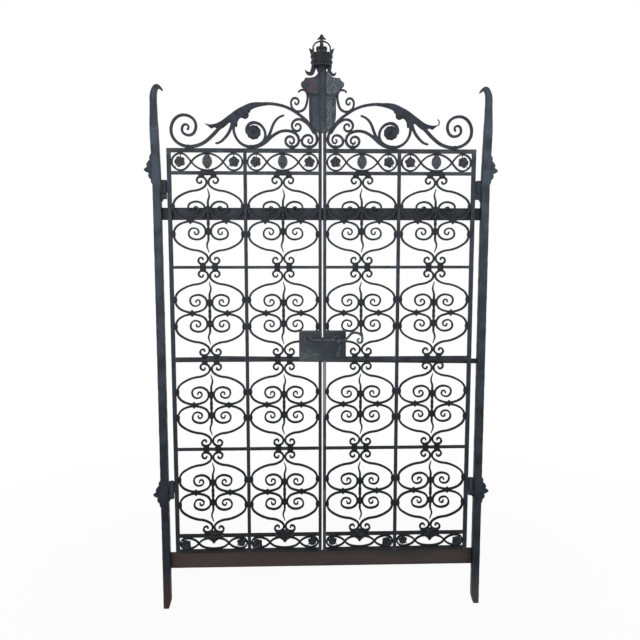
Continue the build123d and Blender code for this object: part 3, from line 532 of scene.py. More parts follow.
# The closing edges, which the leaves rub to a brighter, chalkier grey.
bright_finish = forge_paint("rubbed_iron_closing_edge", "#252b32", "#434a52", hammer_mark=26, dust_and_top_light=0.4,
                            low_darkening=0.6, extra=worn_bright)


def upright_bar(middle_x, width, top):
    """A stile or upright of the leaf from its foot to a height."""
    line = straight(middle_x, leaf_bottom, middle_x, top, 14)
    return forged_bar(line, width, leaf_depth, 2.5, dent=0.5, pitch=130)


def rail(x0, x1, bottom, height):
    """A rail between two uprights."""
    level = bottom + height / 2
    return forged_bar(straight(x0, level, x1, level), height, leaf_depth - 1, 2.5, dent=0.5, pitch=110)


def leaf_rails():
    """Short rails in both bays and the long top rail."""
    levels = [(leaf_bottom, bottom_rail_height), (rows_bottom - base_rail_height, base_rail_height),
              (row_bottoms[1] - row_rail_height, row_rail_height),
              (row_bottoms[2] - mid_rail_height, mid_rail_height),
              (row_bottoms[3] - row_rail_height, row_rail_height), (frieze_rail_bottom, frieze_rail_height)]
    half = bay_half + tenon
    short = [rail(x - half, x + half, *level) for level in levels for x in bay_middles]
    return short + [rail(leaf_left, meeting_left + tenon, top_rail_bottom, top_rail_height)]


hinge_stile = [upright_bar(leaf_left + hinge_stile_width / 2, hinge_stile_width, top_rail_bottom + tenon)]
middle_bar = [upright_bar(upright_x, upright_width, top_rail_bottom + tenon)]
meeting_stile = [upright_bar(meeting_left + meeting_stile_width / 2, meeting_stile_width, stile_top)]
forge_pair("hinge_stile", hinge_stile, bar_finish, "hinge_stile")
forge_pair("middle_bar", middle_bar, bar_finish, "middle_upright")
forge("left_meeting_stile", meeting_stile, "leaf_left", bar_finish, "meeting_stile_left")
forge("right_meeting_stile", other_side(meeting_stile), "leaf_right", bright_finish,
      "meeting_stile_right")
forge_pair("rails", leaf_rails(), rail_finish, "rails")

# The scroll rows. Each bay of a row has four scrolls of light bar, bent cold round a form and
# worked down to a point at the eye, a waving spike up the middle, and forged knobs and collars
# that bind them to each other, to the rails and to the stiles.
scroll_width = 12.3
scroll_depth = 16
scroll_play = 0.5
collar_height = 38
collar_depth = 26
knob_width = 46
knob_height = 43
rail_collar_width = 36
# Light bar straight from the forge: near black and satin, with close marks.
scroll_finish = forge_paint("forged_black_iron_scroll", "#15191f", "#252b33", hammer_mark=18, dent=0.7,
                            rough=0.48, dust_and_top_light=0.4, rub=0.5, low_darkening=0.75)


def scroll(half_width, half_height):
    """The upper right scroll of a panel, from the eye by the rail to the eye of the spiral."""
    side = 1 - (scroll_width / 2 + scroll_play) / half_width
    touch = (scroll_width / 2 - scroll_play) / half_width
    floor = (scroll_width / 2 - scroll_play) / half_height
    line = bent_line((0, 0), (half_width, half_height), [
        (0.165, 0.86, -90), (0.21, 0.815, 0), (0.295, 0.885, 90), (0.19, 0.955, 180), (touch, 0.84, -90),
        (0.19, 0.69, -24), (0.56, 0.62, -19), (side, 0.3, -90), (0.5, floor, 180),
        (0.075, 0.24, 90), (0.32, 0.415, 0), (0.55, 0.29, -90), (0.41, 0.165, 180),
        (0.27, 0.245, 90), (0.34, 0.305, 0), (0.385, 0.25, -100)])
    widths = [10] + [scroll_width] * 12 + [10.3, 9.6, 8.5]
    return forged_bar(line, widths, scroll_depth, 2.2, dent=0.5, pitch=60, tips="start end")


def spike(half_width, half_height):
    """The spike: pointed and waved at both ends, swollen and twisted between the knobs."""
    size = (half_width, half_height)
    high = [(0, 0.7, -85), (0.04, 0.56, -90), (0, 0.4, -90), (0, 0.24, -90)]
    low = [(0, -0.24, -90), (0, -0.4, -90), (-0.045, -0.55, -90), (0.005, -0.7, -80)]
    upper = forged_bar(bent_line((0, 0), size, high), [4, 10, 13, 14], 11, tips="start")
    middle = bent_line((0, 0), size, [high[-1], low[0]], 3)
    lower = forged_bar(bent_line((0, 0), size, low), [14, 13, 10, 4], 11, tips="end")
    return [upper, forged_bar(middle, [13, 15, 16, 15, 13], 13, 1.6, twist=1), lower]


def lump(x, z, width, height, depth, beads=1, rows=17, around=20, square=0.62):
    """A forged collar: rings stacked upwards, near square in plan, with rounded rims and a groove
    between its beads."""
    rise = np.linspace(-1, 1, rows)[:, None]
    turn = once_round(around)
    rim = 1 - np.abs(rise) ** 3.2 * 0.75
    bead = 1 - 0.13 * np.abs(np.cos(np.pi * beads * (rise + 1) / 2)) ** 6 * (beads > 1)
    side = np.sign(np.cos(turn)) * np.abs(np.cos(turn)) ** square
    face = np.sign(np.sin(turn)) * np.abs(np.sin(turn)) ** square
    full = rim * bead * (1 + 0.03 * hammer(rise * height, turn, 20, x * 0.091 + z * 0.057))
    return rings(x + side * full * width / 2, face * full * depth / 2, z + rise * height / 2)


def ball(x, y, z, radius, rows=7, around=10, stretch=1.0):
    """A small ball, or an egg when stretched upwards."""
    t = np.linspace(-0.46 * np.pi, 0.46 * np.pi, rows)
    return lathe(x, y, z, radius * np.cos(t), stretch * radius * np.sin(t), around)


def moved(skins, dx, dz):
    """The same skins shifted in the plane of the leaf."""
    return [skin + (dx, 0, dz) for skin in skins]


def flipped(skin, sideways, upways):
    """A skin turned over left to right or top to bottom about the panel's middle."""
    return skin * (-1 if sideways else 1, 1, -1 if upways else 1)


def panel():
    """One bay of a row about its own middle."""
    half_height = row_clear / 2
    corner = scroll(bay_half, half_height)
    skins = [flipped(corner, s, u) for s in (0, 1) for u in (0, 1)] + spike(bay_half, half_height)
    for up in (-1, 1):
        beside = up * 0.5 * bay_half
        skins.append(lump(0, up * 0.24 * half_height, knob_width, knob_height, collar_depth, 2, square=0.85))
        skins.append(lump(beside, 0, knob_width, 22, collar_depth, square=0.8))
        skins += [ball(beside, 0, side * 13, 8) for side in (-1, 1)]
        for right in (-1, 1):
            skins.append(lump(right * 0.17 * bay_half, up * (half_height - 2), rail_collar_width, 33,
                              collar_depth + 2))
            skins.append(lump(right * (bay_half - 4), up * 0.3 * half_height, 30, collar_height,
                              collar_depth + 2, 2))
    return skins


bay_panel = panel()
for number, bottom in enumerate(row_bottoms):
    row = [skin for x in bay_middles for skin in moved(bay_panel, x, bottom + row_clear / 2)]
    forge_pair(f"scroll_row_{4 - number}", row, scroll_finish, f"scroll_row_{4 - number}")

# The friezes. Two bars wave past each other between rails and make a ring, a pointed almond
# and a ring in each bay. A beaten rosette hangs in each ring, and in the almond a bunch of
# grapes above or a vine leaf below. Clasps hold the almond to the rails.
frieze_bar_width = 10.5
grape_radius = 7
grape_rings = (8, 15, 20, 22, 23, 22, 19, 13, 5)
grape_pitch = 8.5
vine_leaf_height = 83


def painted_glints(tree, place, x, z, colour):
    """Pale flecks of painted highlight on the petals and berries."""
    return layer(tree, colour, "#7e848c", (clouds(tree, place, 7, 2.0), 0.58, 0.68, 0.6))


# Thin beaten work: black and glossier than the bars, so that each petal and berry has its glint, and pale
# flecks of painted highlight.
ornament_finish = forge_paint("black_painted_iron_flower", "#14161a", "#2a2e35", hammer_mark=9, rough=0.34,
                              dust_and_top_light=0.9, rub=1.0, low_darkening=0.7, extra=painted_glints)


def grid(rows, columns, left=-1.0):
    """Two parameters over a sheet: u from 0 to 1 down the rows, and v from left to 1 along them."""
    return np.linspace(0, 1, rows)[:, None], np.linspace(left, 1, columns)[None, :]


def between(front, back):
    """A closed skin from a front sheet and a back sheet with the same rows."""
    return np.concatenate([front, back[:, ::-1]], axis=1)


def both_faces(front):
    """A closed skin from a front sheet and its like on the other side of the leaf's middle plane."""
    return between(front, front * (1, -1, 1))


def petal(x, z, angle, root, reach, half_width, lift, cup, front):
    """A beaten petal: a sheet that runs out from the middle, widest past half way, rising and cupped."""
    u, v = grid(12, 9)
    ragged = 1 + 0.05 * np.cos(9 * v + 3 * angle)
    out = root + (reach * ragged - root) * (u - 0.12 * v ** 2 * u)
    wide = half_width * np.sin(np.pi * (0.1 + 0.78 * u)) ** 0.8 * v
    crease = 0.8 * np.cos(2.5 * np.pi * v) * u
    face = front - lift * np.sin(0.85 * np.pi * u) - cup * v ** 2 * u - crease
    sheet = rings(x + out * math.cos(angle) - wide * math.sin(angle), face,
                  z + out * math.sin(angle) + wide * math.cos(angle))
    return between(sheet, sheet + (0, 1.8, 0))


def rosette(x, z, radius, first):
    """Five broad petals, five small ones between and over them, a beaded heart and a plain back."""
    skins = []
    for angle in first + 2 * np.pi * np.arange(5) / 5:
        skins.append(petal(x, z, angle, 3, radius, 0.56 * radius, 7, 4, -5))
        skins.append(petal(x, z, angle + np.pi / 5, 2, 0.62 * radius, 0.36 * radius, 5, 3, -10))
        skins.append(ball(x + 0.2 * radius * math.cos(angle), -15, z + 0.2 * radius * math.sin(angle), 3.2))
    skins.append(ball(x, -16, z, 4.5))
    t = np.linspace(-0.49 * np.pi, 0.49 * np.pi, 11)
    return skins + [lathe(x, 0, z, 0.42 * radius * np.cos(t), 10 * np.sin(t), 18, forwards=True)]


def grape_bunch(x, top):
    """Berries packed in rings round a stalk, fullest just below the middle."""
    skins = [forged_bar(straight(x, top + 6, x, top - 6, 4), [20, 18, 12], 10, 3)]
    for row, ring in enumerate(grape_rings):
        count = round(2 * np.pi * ring / (1.9 * grape_radius))
        for turn in 2 * np.pi * (np.arange(count) + 0.5 * (row % 2)) / count:
            skins.append(ball(x + ring * math.cos(turn), 0.7 * ring * math.sin(turn),
                              top - 9 - row * grape_pitch, grape_radius, 6, 9))
    return skins


def vine_leaf(x, top):
    """A beaten leaf that clasps the rail: broad above, drawn in to a point below, with a raised midrib."""
    u, v = grid(60, 25)
    wide = np.interp(u * vine_leaf_height, [0, 6, 16, 38, 46, 54, 62, 72, 83],
                     [46, 56, 60, 59, 42, 27, 15, 9, 1])
    droop = 3 * np.cos(3 * np.pi * v) * np.sin(np.pi * u) - 6 * v ** 2 * np.exp(-(u / 0.2) ** 2)
    rib = 2.5 * np.exp(-(v / 0.13) ** 2) + 1.2 * np.cos(2 * np.pi * (3 * u - 1.5 * np.abs(v)))
    body = np.interp(u, [0, 0.05, 0.45, 0.62, 0.95, 1], [7, 13, 13, 7, 4, 1]) * (1 - 0.2 * v ** 4)
    front = rings(x + wide * v, -body - rib * np.sin(np.pi * u), top + droop - u * vine_leaf_height)
    return both_faces(front)


def frieze(bottom, clear, radii, lifts, pendant):
    """One frieze of a leaf, in both bays, with the radii and lifts of its two rosettes."""
    half = clear / 2
    crest = 1 - frieze_bar_width / 2 / half
    end = 1 - frieze_bar_width / 2 / bay_half
    ring = end - 0.95 * half / bay_half
    wave = bent_line((0, 0), (bay_half, half), [
        (-end, 0, 90), (-ring, crest, 0), (-0.44, 0, -54), (0, -crest, 0), (0.44, 0, 54), (ring, crest, 0),
        (end, 0, -90)])
    over = forged_bar(wave, frieze_bar_width, scroll_depth, dent=0.3)
    bars, flowers = [over, flipped(over, 0, 1)], [*pendant]
    for side, radius, lift in zip((-1, 1), radii, lifts):
        bars.append(lump(0, side * (half - 1), 26, 18, collar_depth))
        bars.append(lump(side * 0.44 * bay_half, 0, 18, 16, scroll_depth + 5, square=0.9))
        x = side * ring * bay_half
        stem = bent_line((x, 0), (radius, radius), [(0, 0, 200), (-0.75, -0.55, 240), (-0.9, -1.0, 330)])
        flowers += rosette(x + 3 * side, lift, radius, 1.1 + 0.4 * side)
        flowers.append(forged_bar(stem, [6, 3], 6, 1.5, tips="end"))
        flowers.append(forged_bar(straight(x, 0, x, half - 2, 6), 6, 6, 1.5))
    return [[skin for x in bay_middles for skin in moved(skins, x, bottom + half)]
            for skins in (bars, flowers)]


clasp_level = frieze_rail_bottom + frieze_rail_height / 2 + 3
clasps = [lump(x, clasp_level, 90, 34, collar_depth - 1, rows=21, around=28, square=0.4)
          for x in bay_middles]
upper_bars, upper_flowers = frieze(upper_frieze_bottom, upper_frieze_clear, (32, 32), (0, 0),
                                   grape_bunch(0, upper_frieze_clear / 2 - 8))
lower_bars, lower_flowers = frieze(leaf_bottom + bottom_rail_height, lower_frieze_clear, (33, 28), (-2, 8),
                                   [vine_leaf(0, lower_frieze_clear / 2 + 40)])
friezes = (("upper", upper_bars + clasps, upper_flowers), ("lower", lower_bars, lower_flowers))
sides = (("left", "leaf_left", list), ("right", "leaf_right", other_side))
for side, body, turn in sides:
    for level, bars, flowers in friezes:
        name, node = f"{side}_{level}_frieze", f"{level}_frieze_{side}"
        forge(name, turn(bars), body, scroll_finish, node)
        forge(f"{name}_flowers", turn(flowers), body, ornament_finish, node, 55)

# The crest. Over each leaf a long bar starts in a spiral, sweeps up and over and curls under
# the shield, with scrolls, tendrils and a beaten boss inside the arch. The bars are forge
# welded where they branch, and thicken there.
crest_rise = 254
crest_span = meeting_left - leaf_left
crest_bar = 17
crest_branch = 16
boss_radius = 42
shield_half_width = 78
# Blue black like the posts, under open sky, rubbed paler along the ridges.
crest_finish = forge_paint("forged_black_iron_crest", "#1a1e27", "#2f3542", hammer_mark=20, dent=0.8,
                           rough=0.46, dust_and_top_light=0.5, rub=0.6)


def crest_line(*knots):
    """The middle line of a crest bar, in shares of the crest's own span and rise."""
    return bent_line((leaf_left, leaf_top), (crest_span, crest_rise), knots)


def crest_place(across, up):
    """A point given in the same shares."""
    return leaf_left + across * crest_span, leaf_top + up * crest_rise


def crest_scrolls():
    """Every bar of the crest with its widths, and the collars on the top rail."""
    low = (crest_bar / 2 + 1) / crest_rise
    foot = (crest_branch / 2 + 1) / crest_rise
    stile = 1 - crest_bar / 2 / crest_span
    lean = (seam - shield_half_width - crest_branch / 2 - leaf_left) / crest_span
    sweep = crest_line(
        (0.142, 0.416, 70), (0.148, 0.464, 90), (0.128, 0.528, 180), (0.104, 0.416, -90), (0.149, 0.288, 0),
        (0.196, 0.496, 90), (0.118, 0.736, 180), (0.033, 0.4, -90), (0.149, low, 0),
        (0.268, 0.18, 40), (0.38, 0.55, 42), (0.494, 0.828, 28), (0.662, 0.996, 0),
        (0.836, 0.84, -32), (0.935, 0.57, -50), (stile, 0.2, -90), (0.94, low, 180), (0.89, 0.16, 90),
        (0.933, 0.304, 0), (0.961, 0.2, -90), (0.944, 0.125, 180), (0.931, 0.176, 90), (0.938, 0.205, 10))
    inner = crest_line((0.468, 0.7, -112), (0.442, 0.444, -90), (0.555, foot, 0), (0.65, 0.296, 90),
                       (0.573, 0.576, 180), (0.527, 0.4, -90), (0.55, 0.3, -40))
    fork = crest_line((0.57, foot, 0), (0.669, 0.2, 43), (0.787, 0.4, 0), (0.87, 0.19, -90),
                      (0.826, foot, 180), (0.782, 0.17, 90), (0.812, 0.272, 0), (0.839, 0.176, -90),
                      (0.82, 0.112, 180), (0.81, 0.155, 80))
    lower_tendril = crest_line((0.47, 0.78, -115), (0.434, 0.6, -98), (0.394, 0.272, -130),
                               (0.326, 0.112, 185))
    upper_tendril = crest_line((0.655, 0.17, 58), (0.694, 0.472, 72), (0.77, 0.736, 12))
    nested = crest_line((0.968, 0.36, 122), (0.909, 0.604, 147), (0.869, 0.656, 180), (0.825, 0.512, -90),
                        (0.858, 0.392, 0), (0.883, 0.484, 90), (0.862, 0.552, 180), (0.849, 0.504, -90))
    ear = crest_line((lean - 0.058, 1.258, 62), (lean - 0.03, 1.306, 0), (lean, 1.16, -90),
                     (lean - 0.06, 0.825, 180), (lean - 0.109, 1.01, 90), (lean - 0.082, 1.124, 0),
                     (lean - 0.058, 1.048, -90), (lean - 0.073, 0.986, 180), (lean - 0.083, 1.028, 90))
    bars = [(sweep, [11, 15, 16, 16, 17, 18, 19, 20, 20, 18, 16, 15, 16, 17, 16, 14, 9]),
            (inner, [16, 16, 15, 16, 20, 18, 15, 16, 18, 19]),
            (fork, [18, 20, 16, 16, 16, 15, 14, 10]),
            (lower_tendril, [18, 17, 16, 11]),
            (upper_tendril, [18, 16, 14, 10]),
            (nested, [15, 14, 14, 13, 10]),
            (ear, [9, 13, 14, 13, 12, 12, 9])]
    skins = [forged_bar(line, widths, scroll_depth + 1, 3, dent=0.5, tips="start end")
             for line, widths in bars]
    for across, width in ((0.142, 36), (0.555, 52), (0.826, 34), (0.94, 30)):
        x, z = crest_place(across, 0)
        skins += [lump(x, z + 2, width, 28, collar_depth, 2), ball(x, -2, z + 15, 7)]
    return skins + [lump(*crest_place(0.888, 0.19), 22, 14, 20, square=0.9)]


def crest_boss():
    """A beaten boss: a dome whose rings bulge in nine petals round a hollow with a button in it."""
    x, z = crest_place(0.573, 0.36)
    t = np.linspace(-0.49 * np.pi, 0.49 * np.pi, 41)[:, None]
    turn = once_round(72)
    dome = np.cos(t) ** 0.75
    petals = np.abs(np.sin(4.5 * turn + 1.4 * (1 - dome)))
    radius = boss_radius * dome * (0.93 + 0.07 * petals * dome)
    dish = 1 - 0.55 * np.exp(-(dome / 0.34) ** 2) + 0.75 * np.exp(-(dome / 0.14) ** 2)
    deep = np.sign(t) * np.abs(np.sin(t)) ** 0.8 * 14 * dish * (0.86 + 0.14 * petals)
    return rings(x + radius * np.cos(turn), deep, z + radius * np.sin(turn))


def smooth_steps(places, values, at):
    """A smooth curve through given values: cubic pieces whose slopes come from the neighbours."""
    places, values = np.array(places, float), np.array(values, float)
    slope = np.gradient(values, places)
    k = np.clip(np.searchsorted(places, at, side="right") - 1, 0, len(places) - 2)
    width = places[k + 1] - places[k]
    t = (at - places[k]) / width
    return ((2 * t ** 3 - 3 * t ** 2 + 1) * values[k] + (t ** 3 - 2 * t ** 2 + t) * width * slope[k]
            + (3 * t ** 2 - 2 * t ** 3) * values[k + 1] + (t ** 3 - t ** 2) * width * slope[k + 1])


def crest_leaf():
    """The acanthus that clasps the sweep: a front and a back sheet between its spine and its lobed edge.

    Across the leaf the sheet swells over the bar, and veins run slanting from the spine to
    the tip of each lobe.
    """
    u, v = grid(150, 15, 0.0)
    along, lobes = np.linspace(0, 1, 9), np.linspace(0, 1, 26)
    spine_x = smooth_steps(along, [0.254, 0.294, 0.347, 0.414, 0.459, 0.501, 0.545, 0.588, 0.662], u)
    spine_z = smooth_steps(along, [0.552, 0.527, 0.576, 0.735, 0.848, 0.925, 0.993, 1.021, 1.02], u)
    edge_x = smooth_steps(lobes, [
        0.2555, 0.266, 0.279, 0.2975, 0.3116, 0.328, 0.342, 0.367, 0.392, 0.418, 0.432, 0.45, 0.4655,
        0.4697, 0.486, 0.5015, 0.517, 0.5345, 0.5425, 0.531, 0.548, 0.5565, 0.58, 0.612, 0.64, 0.665], u)
    edge_z = smooth_steps(lobes, [
        0.54, 0.514, 0.478, 0.436, 0.462, 0.45, 0.43, 0.44, 0.505, 0.572, 0.5, 0.478, 0.49,
        0.6, 0.675, 0.672, 0.652, 0.678, 0.74, 0.815, 0.79, 0.85, 0.895, 0.928, 0.948, 0.956], u)
    x, z = crest_place(spine_x + (edge_x - spine_x) * v, spine_z + (edge_z - spine_z) * v)
    closed = np.sin(np.pi * (0.02 + 0.96 * u)) ** 0.4
    veins = 1.5 * np.cos(2 * np.pi * (9 * u - 0.9 * v)) * np.sin(np.pi * (0.12 + 0.8 * v))
    swell = (10 * np.sqrt(np.clip(1 - v ** 2.2, 0, 1)) + veins + 2.2) * closed
    return both_faces(rings(x, -swell - 1, z))


def leaf_curl():
    """The curl that the right leaf's tip ends in: a small tapered bar that rolls up from it."""
    curl = bent_line(crest_place(0.254, 0.55), (1, 1), [(4, -4, 130), (-3, 15, 85), (6, 30, 45)], 3)
    return forged_bar(curl, [7, 6, 4], 10, tips="end")


scrolls = crest_scrolls() + [crest_boss()]
for side, body, turn in sides:
    leaves = [crest_leaf()] if side == "left" else [crest_leaf(), leaf_curl()]
    forge(f"{side}_crest_scrolls", turn(scrolls), body, crest_finish, f"crest_scrolls_{side}",
          50)
    forge(f"{side}_crest_leaf", turn(leaves), body, crest_finish, f"crest_leaf_{side}", 60)

# The shield. Each leaf carries half of it on its closing stile: thick beaten plate with a
# raised border, a rib beside the seam and a bar across, so that four fields lie sunk between
# them. Old red lead shows in one field and bare pitted metal in another.
shield_bottom = leaf_top + 90
shield_shoulder = shield_bottom + 203
shield_ear_top = shield_shoulder + 103
shield_neck = 37
shield_top = shield_ear_top + shield_neck
shield_front = 16
shield_back = 14
shield_gap = 0.2
shield_border = 11
shield_recess = 3.5
shield_rib_width = 20
shield_ear_reach = 124


def shield_fields(tree, place, x, z, colour):
    """Red lead in the upper left field, pale pitting on the right and green grey below on the left.

    Painted shade darkens the rib, the crossing bar and the border, and frames the fields.
    """
    aside, rise = [add(tree, "Math", {0: value, 1: level}, operation="SUBTRACT")
                   for value, level in ((x, seam), (z, shield_shoulder + 9))]
    out, off_bar = [add(tree, "Math", {0: value}, operation="ABSOLUTE") for value in (aside, rise)]
    cloud, fine = clouds(tree, place, 26, 5.0), clouds(tree, place, 5, 4.0)
    colour = layer(tree, colour, "#3c4951", (z, shield_shoulder, shield_shoulder - 20, 0.5))
    colour = layer(tree, colour, "#5d3b48", (x, seam - 25, seam - 45),
                   (z, shield_shoulder + 5, shield_shoulder + 35), (cloud, 0.38, 0.62, 0.6))
    colour = layer(tree, colour, "#7d838b", (x, seam + 18, seam + 26), (fine, 0.46, 0.6, 0.8))
    colour = layer(tree, colour, "#747b84", (z, shield_bottom + 70, shield_bottom + 40),
                   (fine, 0.52, 0.62, 0.7))
    # Painted shade on the rib, the crossing bar and the border, so that the relief reads.
    painted_relief_shade = share(tree, (out, 21, 16, 0.8))
    for other in (share(tree, (off_bar, 10, 4)),
                  share(tree, (out, 50, 58, 0.9), (z, shield_shoulder + 15, shield_shoulder))):
        painted_relief_shade = add(tree, "Math", {0: painted_relief_shade, 1: other}, operation="MAXIMUM")
    return layer(tree, colour, "#1a2129", painted_relief_shade, (cloud, 0.75, 0.45, 0.7), (out, -1, 8))


# Beaten plate: grey blue paint over many small dents that scatter the light.
shield_finish = forge_paint("beaten_painted_plate", "#2a333b", "#414a53", hammer_mark=13, dent=0.9,
                            rough=0.45, dust_and_top_light=0.4, rub=0.8, extra=shield_fields)


def shield_half(throat):
    """The half left of the seam: at each height a ring from the outline to the seam and back again.

    The throat is given as reaches from the ear's top up to the neck. The face is a height above
    the middle plane: raised near the outline, the rib and the crossing bar, sunk and a little
    pillowed in the fields, with hammer marks all over.
    """
    side, ear = shield_half_width, shield_ear_reach
    tall, wing = shield_shoulder - shield_bottom, shield_ear_top - shield_shoulder
    heights = np.concatenate([np.array([0, 0.06, 0.18, 0.32, 0.45, 1]) * tall,
                              np.array([0.2, 0.42, 0.58, 0.74, 0.88, 1]) * wing + tall,
                              np.array([1, 7, 15, 24, shield_neck]) + tall + wing])
    reaches = [24, 38, 60, 74, side, side, side + 9, ear - 18, ear, ear, ear - 19, ear - 23, *throat]
    level = np.concatenate([np.linspace(0, tall + 0.999 * wing, 130),
                            np.linspace(tall + wing + 0.5, heights[-1], 24)])
    reach = np.interp(level, heights, reaches)
    rounded = np.convolve(np.pad(reach, 2, mode="edge"), np.ones(5) / 5, "valid")
    reach = np.where(level < 0.5 * tall, rounded, reach)[:, None]
    level = level[:, None]
    inner = shield_gap / 2
    out = inner + (reach - inner) * np.linspace(0, 1, 60)[None, :]
    edge = np.minimum(reach - out, np.minimum(level + 10 * (out < 30), heights[-1] - level))
    border = np.clip((shield_border - np.minimum(edge, np.abs(level - tall))) / 3, 0, 1)
    rib = np.clip((shield_rib_width - out + inner) / 4, 0, 1)
    raised = np.maximum(border, rib)
    raised = raised * raised * (3 - 2 * raised)
    pillow = 1.2 * np.sin(np.pi * np.clip((out - 22) / 50, 0, 1)) * (1 - raised)
    round_rib = 1.8 * np.sin(np.pi * np.clip((out - inner) / shield_rib_width, 0, 1))
    beaten = 0.5 * hammer(out + 0.4 * level, level / 9, 28, 3.0)
    lip = np.clip(edge / 2.5, 0, 1) ** 0.5 * 2 - 2
    relief = shield_recess * raised + pillow + round_rib + beaten + lip - shield_recess
    x, z = seam - out, shield_bottom + level
    return between(rings(x, -shield_front - relief, z), rings(x, shield_back + relief, z))


left_half = [shield_half([66, 46, 35, 29, 27]), rivet(seam - 12, shield_bottom + 22, -shield_front - 1, 4.5)]
right_half = other_side([shield_half([70, 54, 44, 35, 29])])
forge("left_shield", left_half, "leaf_left", shield_finish, "shield_left", 50)
forge("right_shield", right_half, "leaf_right", shield_finish, "shield_right", 50)

# The crown. A closed crown of beaten sheet and light bar stands on the shield's neck: a
# waved ring over a row of beads, leaf tips and ball tips round the rim, four arches, a fleur
# inside and a barbed finial. Two acanthus tips hang from the ring, the left one the larger.
crown_x = seam - 5
crown_floor = shield_top + 6
crown_radius = 65
crown_wall = 3
crown_ring_height = 92
crown_neck_radius = 27
crown_neck_height = 26
crown_beads = 18
crown_top = crown_floor + crown_ring_height
# Beaten sheet in the blackest paint of all, so that the crown reads dark.
crown_finish = forge_paint("black_painted_beaten_sheet", "#0e1118", "#1e212c", hammer_mark=11, dent=0.8,
                           rough=0.45, dust_and_top_light=0.5, rub=0.7)


def crown_ring():
    """The neck and the ring as one turned skin: up the neck's cove, up the outside in two rolls,
    over the rim and down the inside. The rolls run round in shallow swags."""
    cove, around = np.linspace(0, np.pi / 2, 10), 96
    ring = np.linspace(crown_neck_height, crown_ring_height, 48)
    outer = crown_radius * (0.95 - 0.14 * (1 - ring / crown_ring_height) ** 3)
    inner = outer[::-4] - crown_wall - 3
    radii = np.concatenate([[3], crown_neck_radius + (outer[0] - crown_neck_radius) * (1 - np.cos(cove)),
                            outer, inner, [3]])
    heights = np.concatenate([[0], crown_neck_height * np.sin(cove), ring,
                              ring[::-4] + np.linspace(0, 4, len(inner)), [crown_neck_height + 5]])
    skin = lathe(crown_x, 0, crown_floor, radii, heights, around)
    turn = once_round(around)
    up = (heights / crown_ring_height)[:, None]
    swag = up + 0.05 * np.abs(np.cos(2 * turn)) * np.sin(np.pi * up)
    wave = np.sin(6 * np.pi * swag - 2.1) * np.clip(np.sin(np.pi * up), 0, 1) ** 0.3
    leaf = 0.4 * np.cos(16 * turn + 6 * up) * np.sin(3 * np.pi * up) ** 2
    row = np.arange(len(radii))[:, None]
    swell = 1 + ((row > len(cove)) & (row <= len(cove) + len(ring))) * (0.05 * wave + 0.02 * leaf)
    return rings(crown_x + (skin[..., 0] - crown_x) * swell, skin[..., 1] * swell, skin[..., 2])


def turned(skin, quarters):
    """A skin turned about the crown's upright axis."""
    x, y = skin[..., 0] - crown_x, skin[..., 1]
    cos, sin = math.cos(quarters * np.pi / 2), math.sin(quarters * np.pi / 2)
    return rings(crown_x + x * cos - y * sin, x * sin + y * cos, skin[..., 2])


def rim_leaf():
    """A pointed leaf on the front of the rim, flared out and cupped, with a fold up its middle."""
    u, v = grid(14, 11)
    wide = 15 * (1 - u) ** 0.6 * (0.75 + 0.5 * np.sin(np.pi * u)) * v
    rise = crown_top - 14 + 46 * u - 7 * u * v ** 2
    lean = -crown_radius + 5 - 12 * u ** 1.6 + 16 * v ** 2 * (1 - 0.25 * u) - 2 * np.exp(-(v / 0.2) ** 2)
    front = rings(crown_x + wide, lean, rise)
    return between(front, front + (0, 4, 0))


def crown_arch():
    """One arch on the left, from inside the rim up and in to the finial, with a slight ogee."""
    line = bent_line((crown_x, crown_top), (1, 1), [
        (-50, -14, 90), (-50, 30, 90), (-36, 59, 40), (-14, 69, 12), (0, 74, 35)])
    return forged_bar(line, [8.5, 8.5, 8, 8, 10], 8, 2.5, dent=0.2, tips="start")


def fleur():
    """The stem that swells inside the arches, with a curl to each side and a barbed, round tip above."""
    stem = lathe(crown_x, 0, crown_top, [10, 15, 17, 12, 11, 13, 10, 9, 10, 7, 7],
                 [-50, 2, 12, 22, 32, 45, 55, 64, 73, 80, 90], 20)
    line = bent_line((crown_x, crown_top + 8), (1, 1), [
        (2, 2, 20), (27, 16, 75), (20, 31, 180), (12, 22, -80), (19, 18, 20)])
    curl = forged_bar(line, [12, 10, 9, 8, 7], 11, 2.5, tips="end")
    skins = [stem, curl, curl * (-1, 1, 1) + (2 * crown_x, 0, 0),
             ball(crown_x, 0, crown_top + 96, 11, 13, 20, stretch=1.15)]
    u, v = grid(14, 7)
    barb_rise = crown_top + 91 - 11 * u ** 1.3 + 10 * (1 - 0.85 * u ** 1.5) * v
    barb_face = -4.5 * np.sqrt(np.clip(1 - v ** 2, 0.05, 1)) * (1 - 0.7 * u)
    for side in (-1, 1):
        skins.append(ball(crown_x + side * 19, 0, crown_top + 30, 7, 9, 14))
        skins.append(both_faces(rings(crown_x + side * 26 * u ** 0.9, barb_face, barb_rise)))
    return skins


def hanging_tip(knots, widths):
    """An acanthus tip that hangs from the ring and turns up: a thick bar with a grooved face."""
    line = bent_line((crown_x, crown_floor), (1, 1), knots, 3)
    return forged_bar(line, widths, 17, 5, dent=0.9, pitch=24, tips="start end")


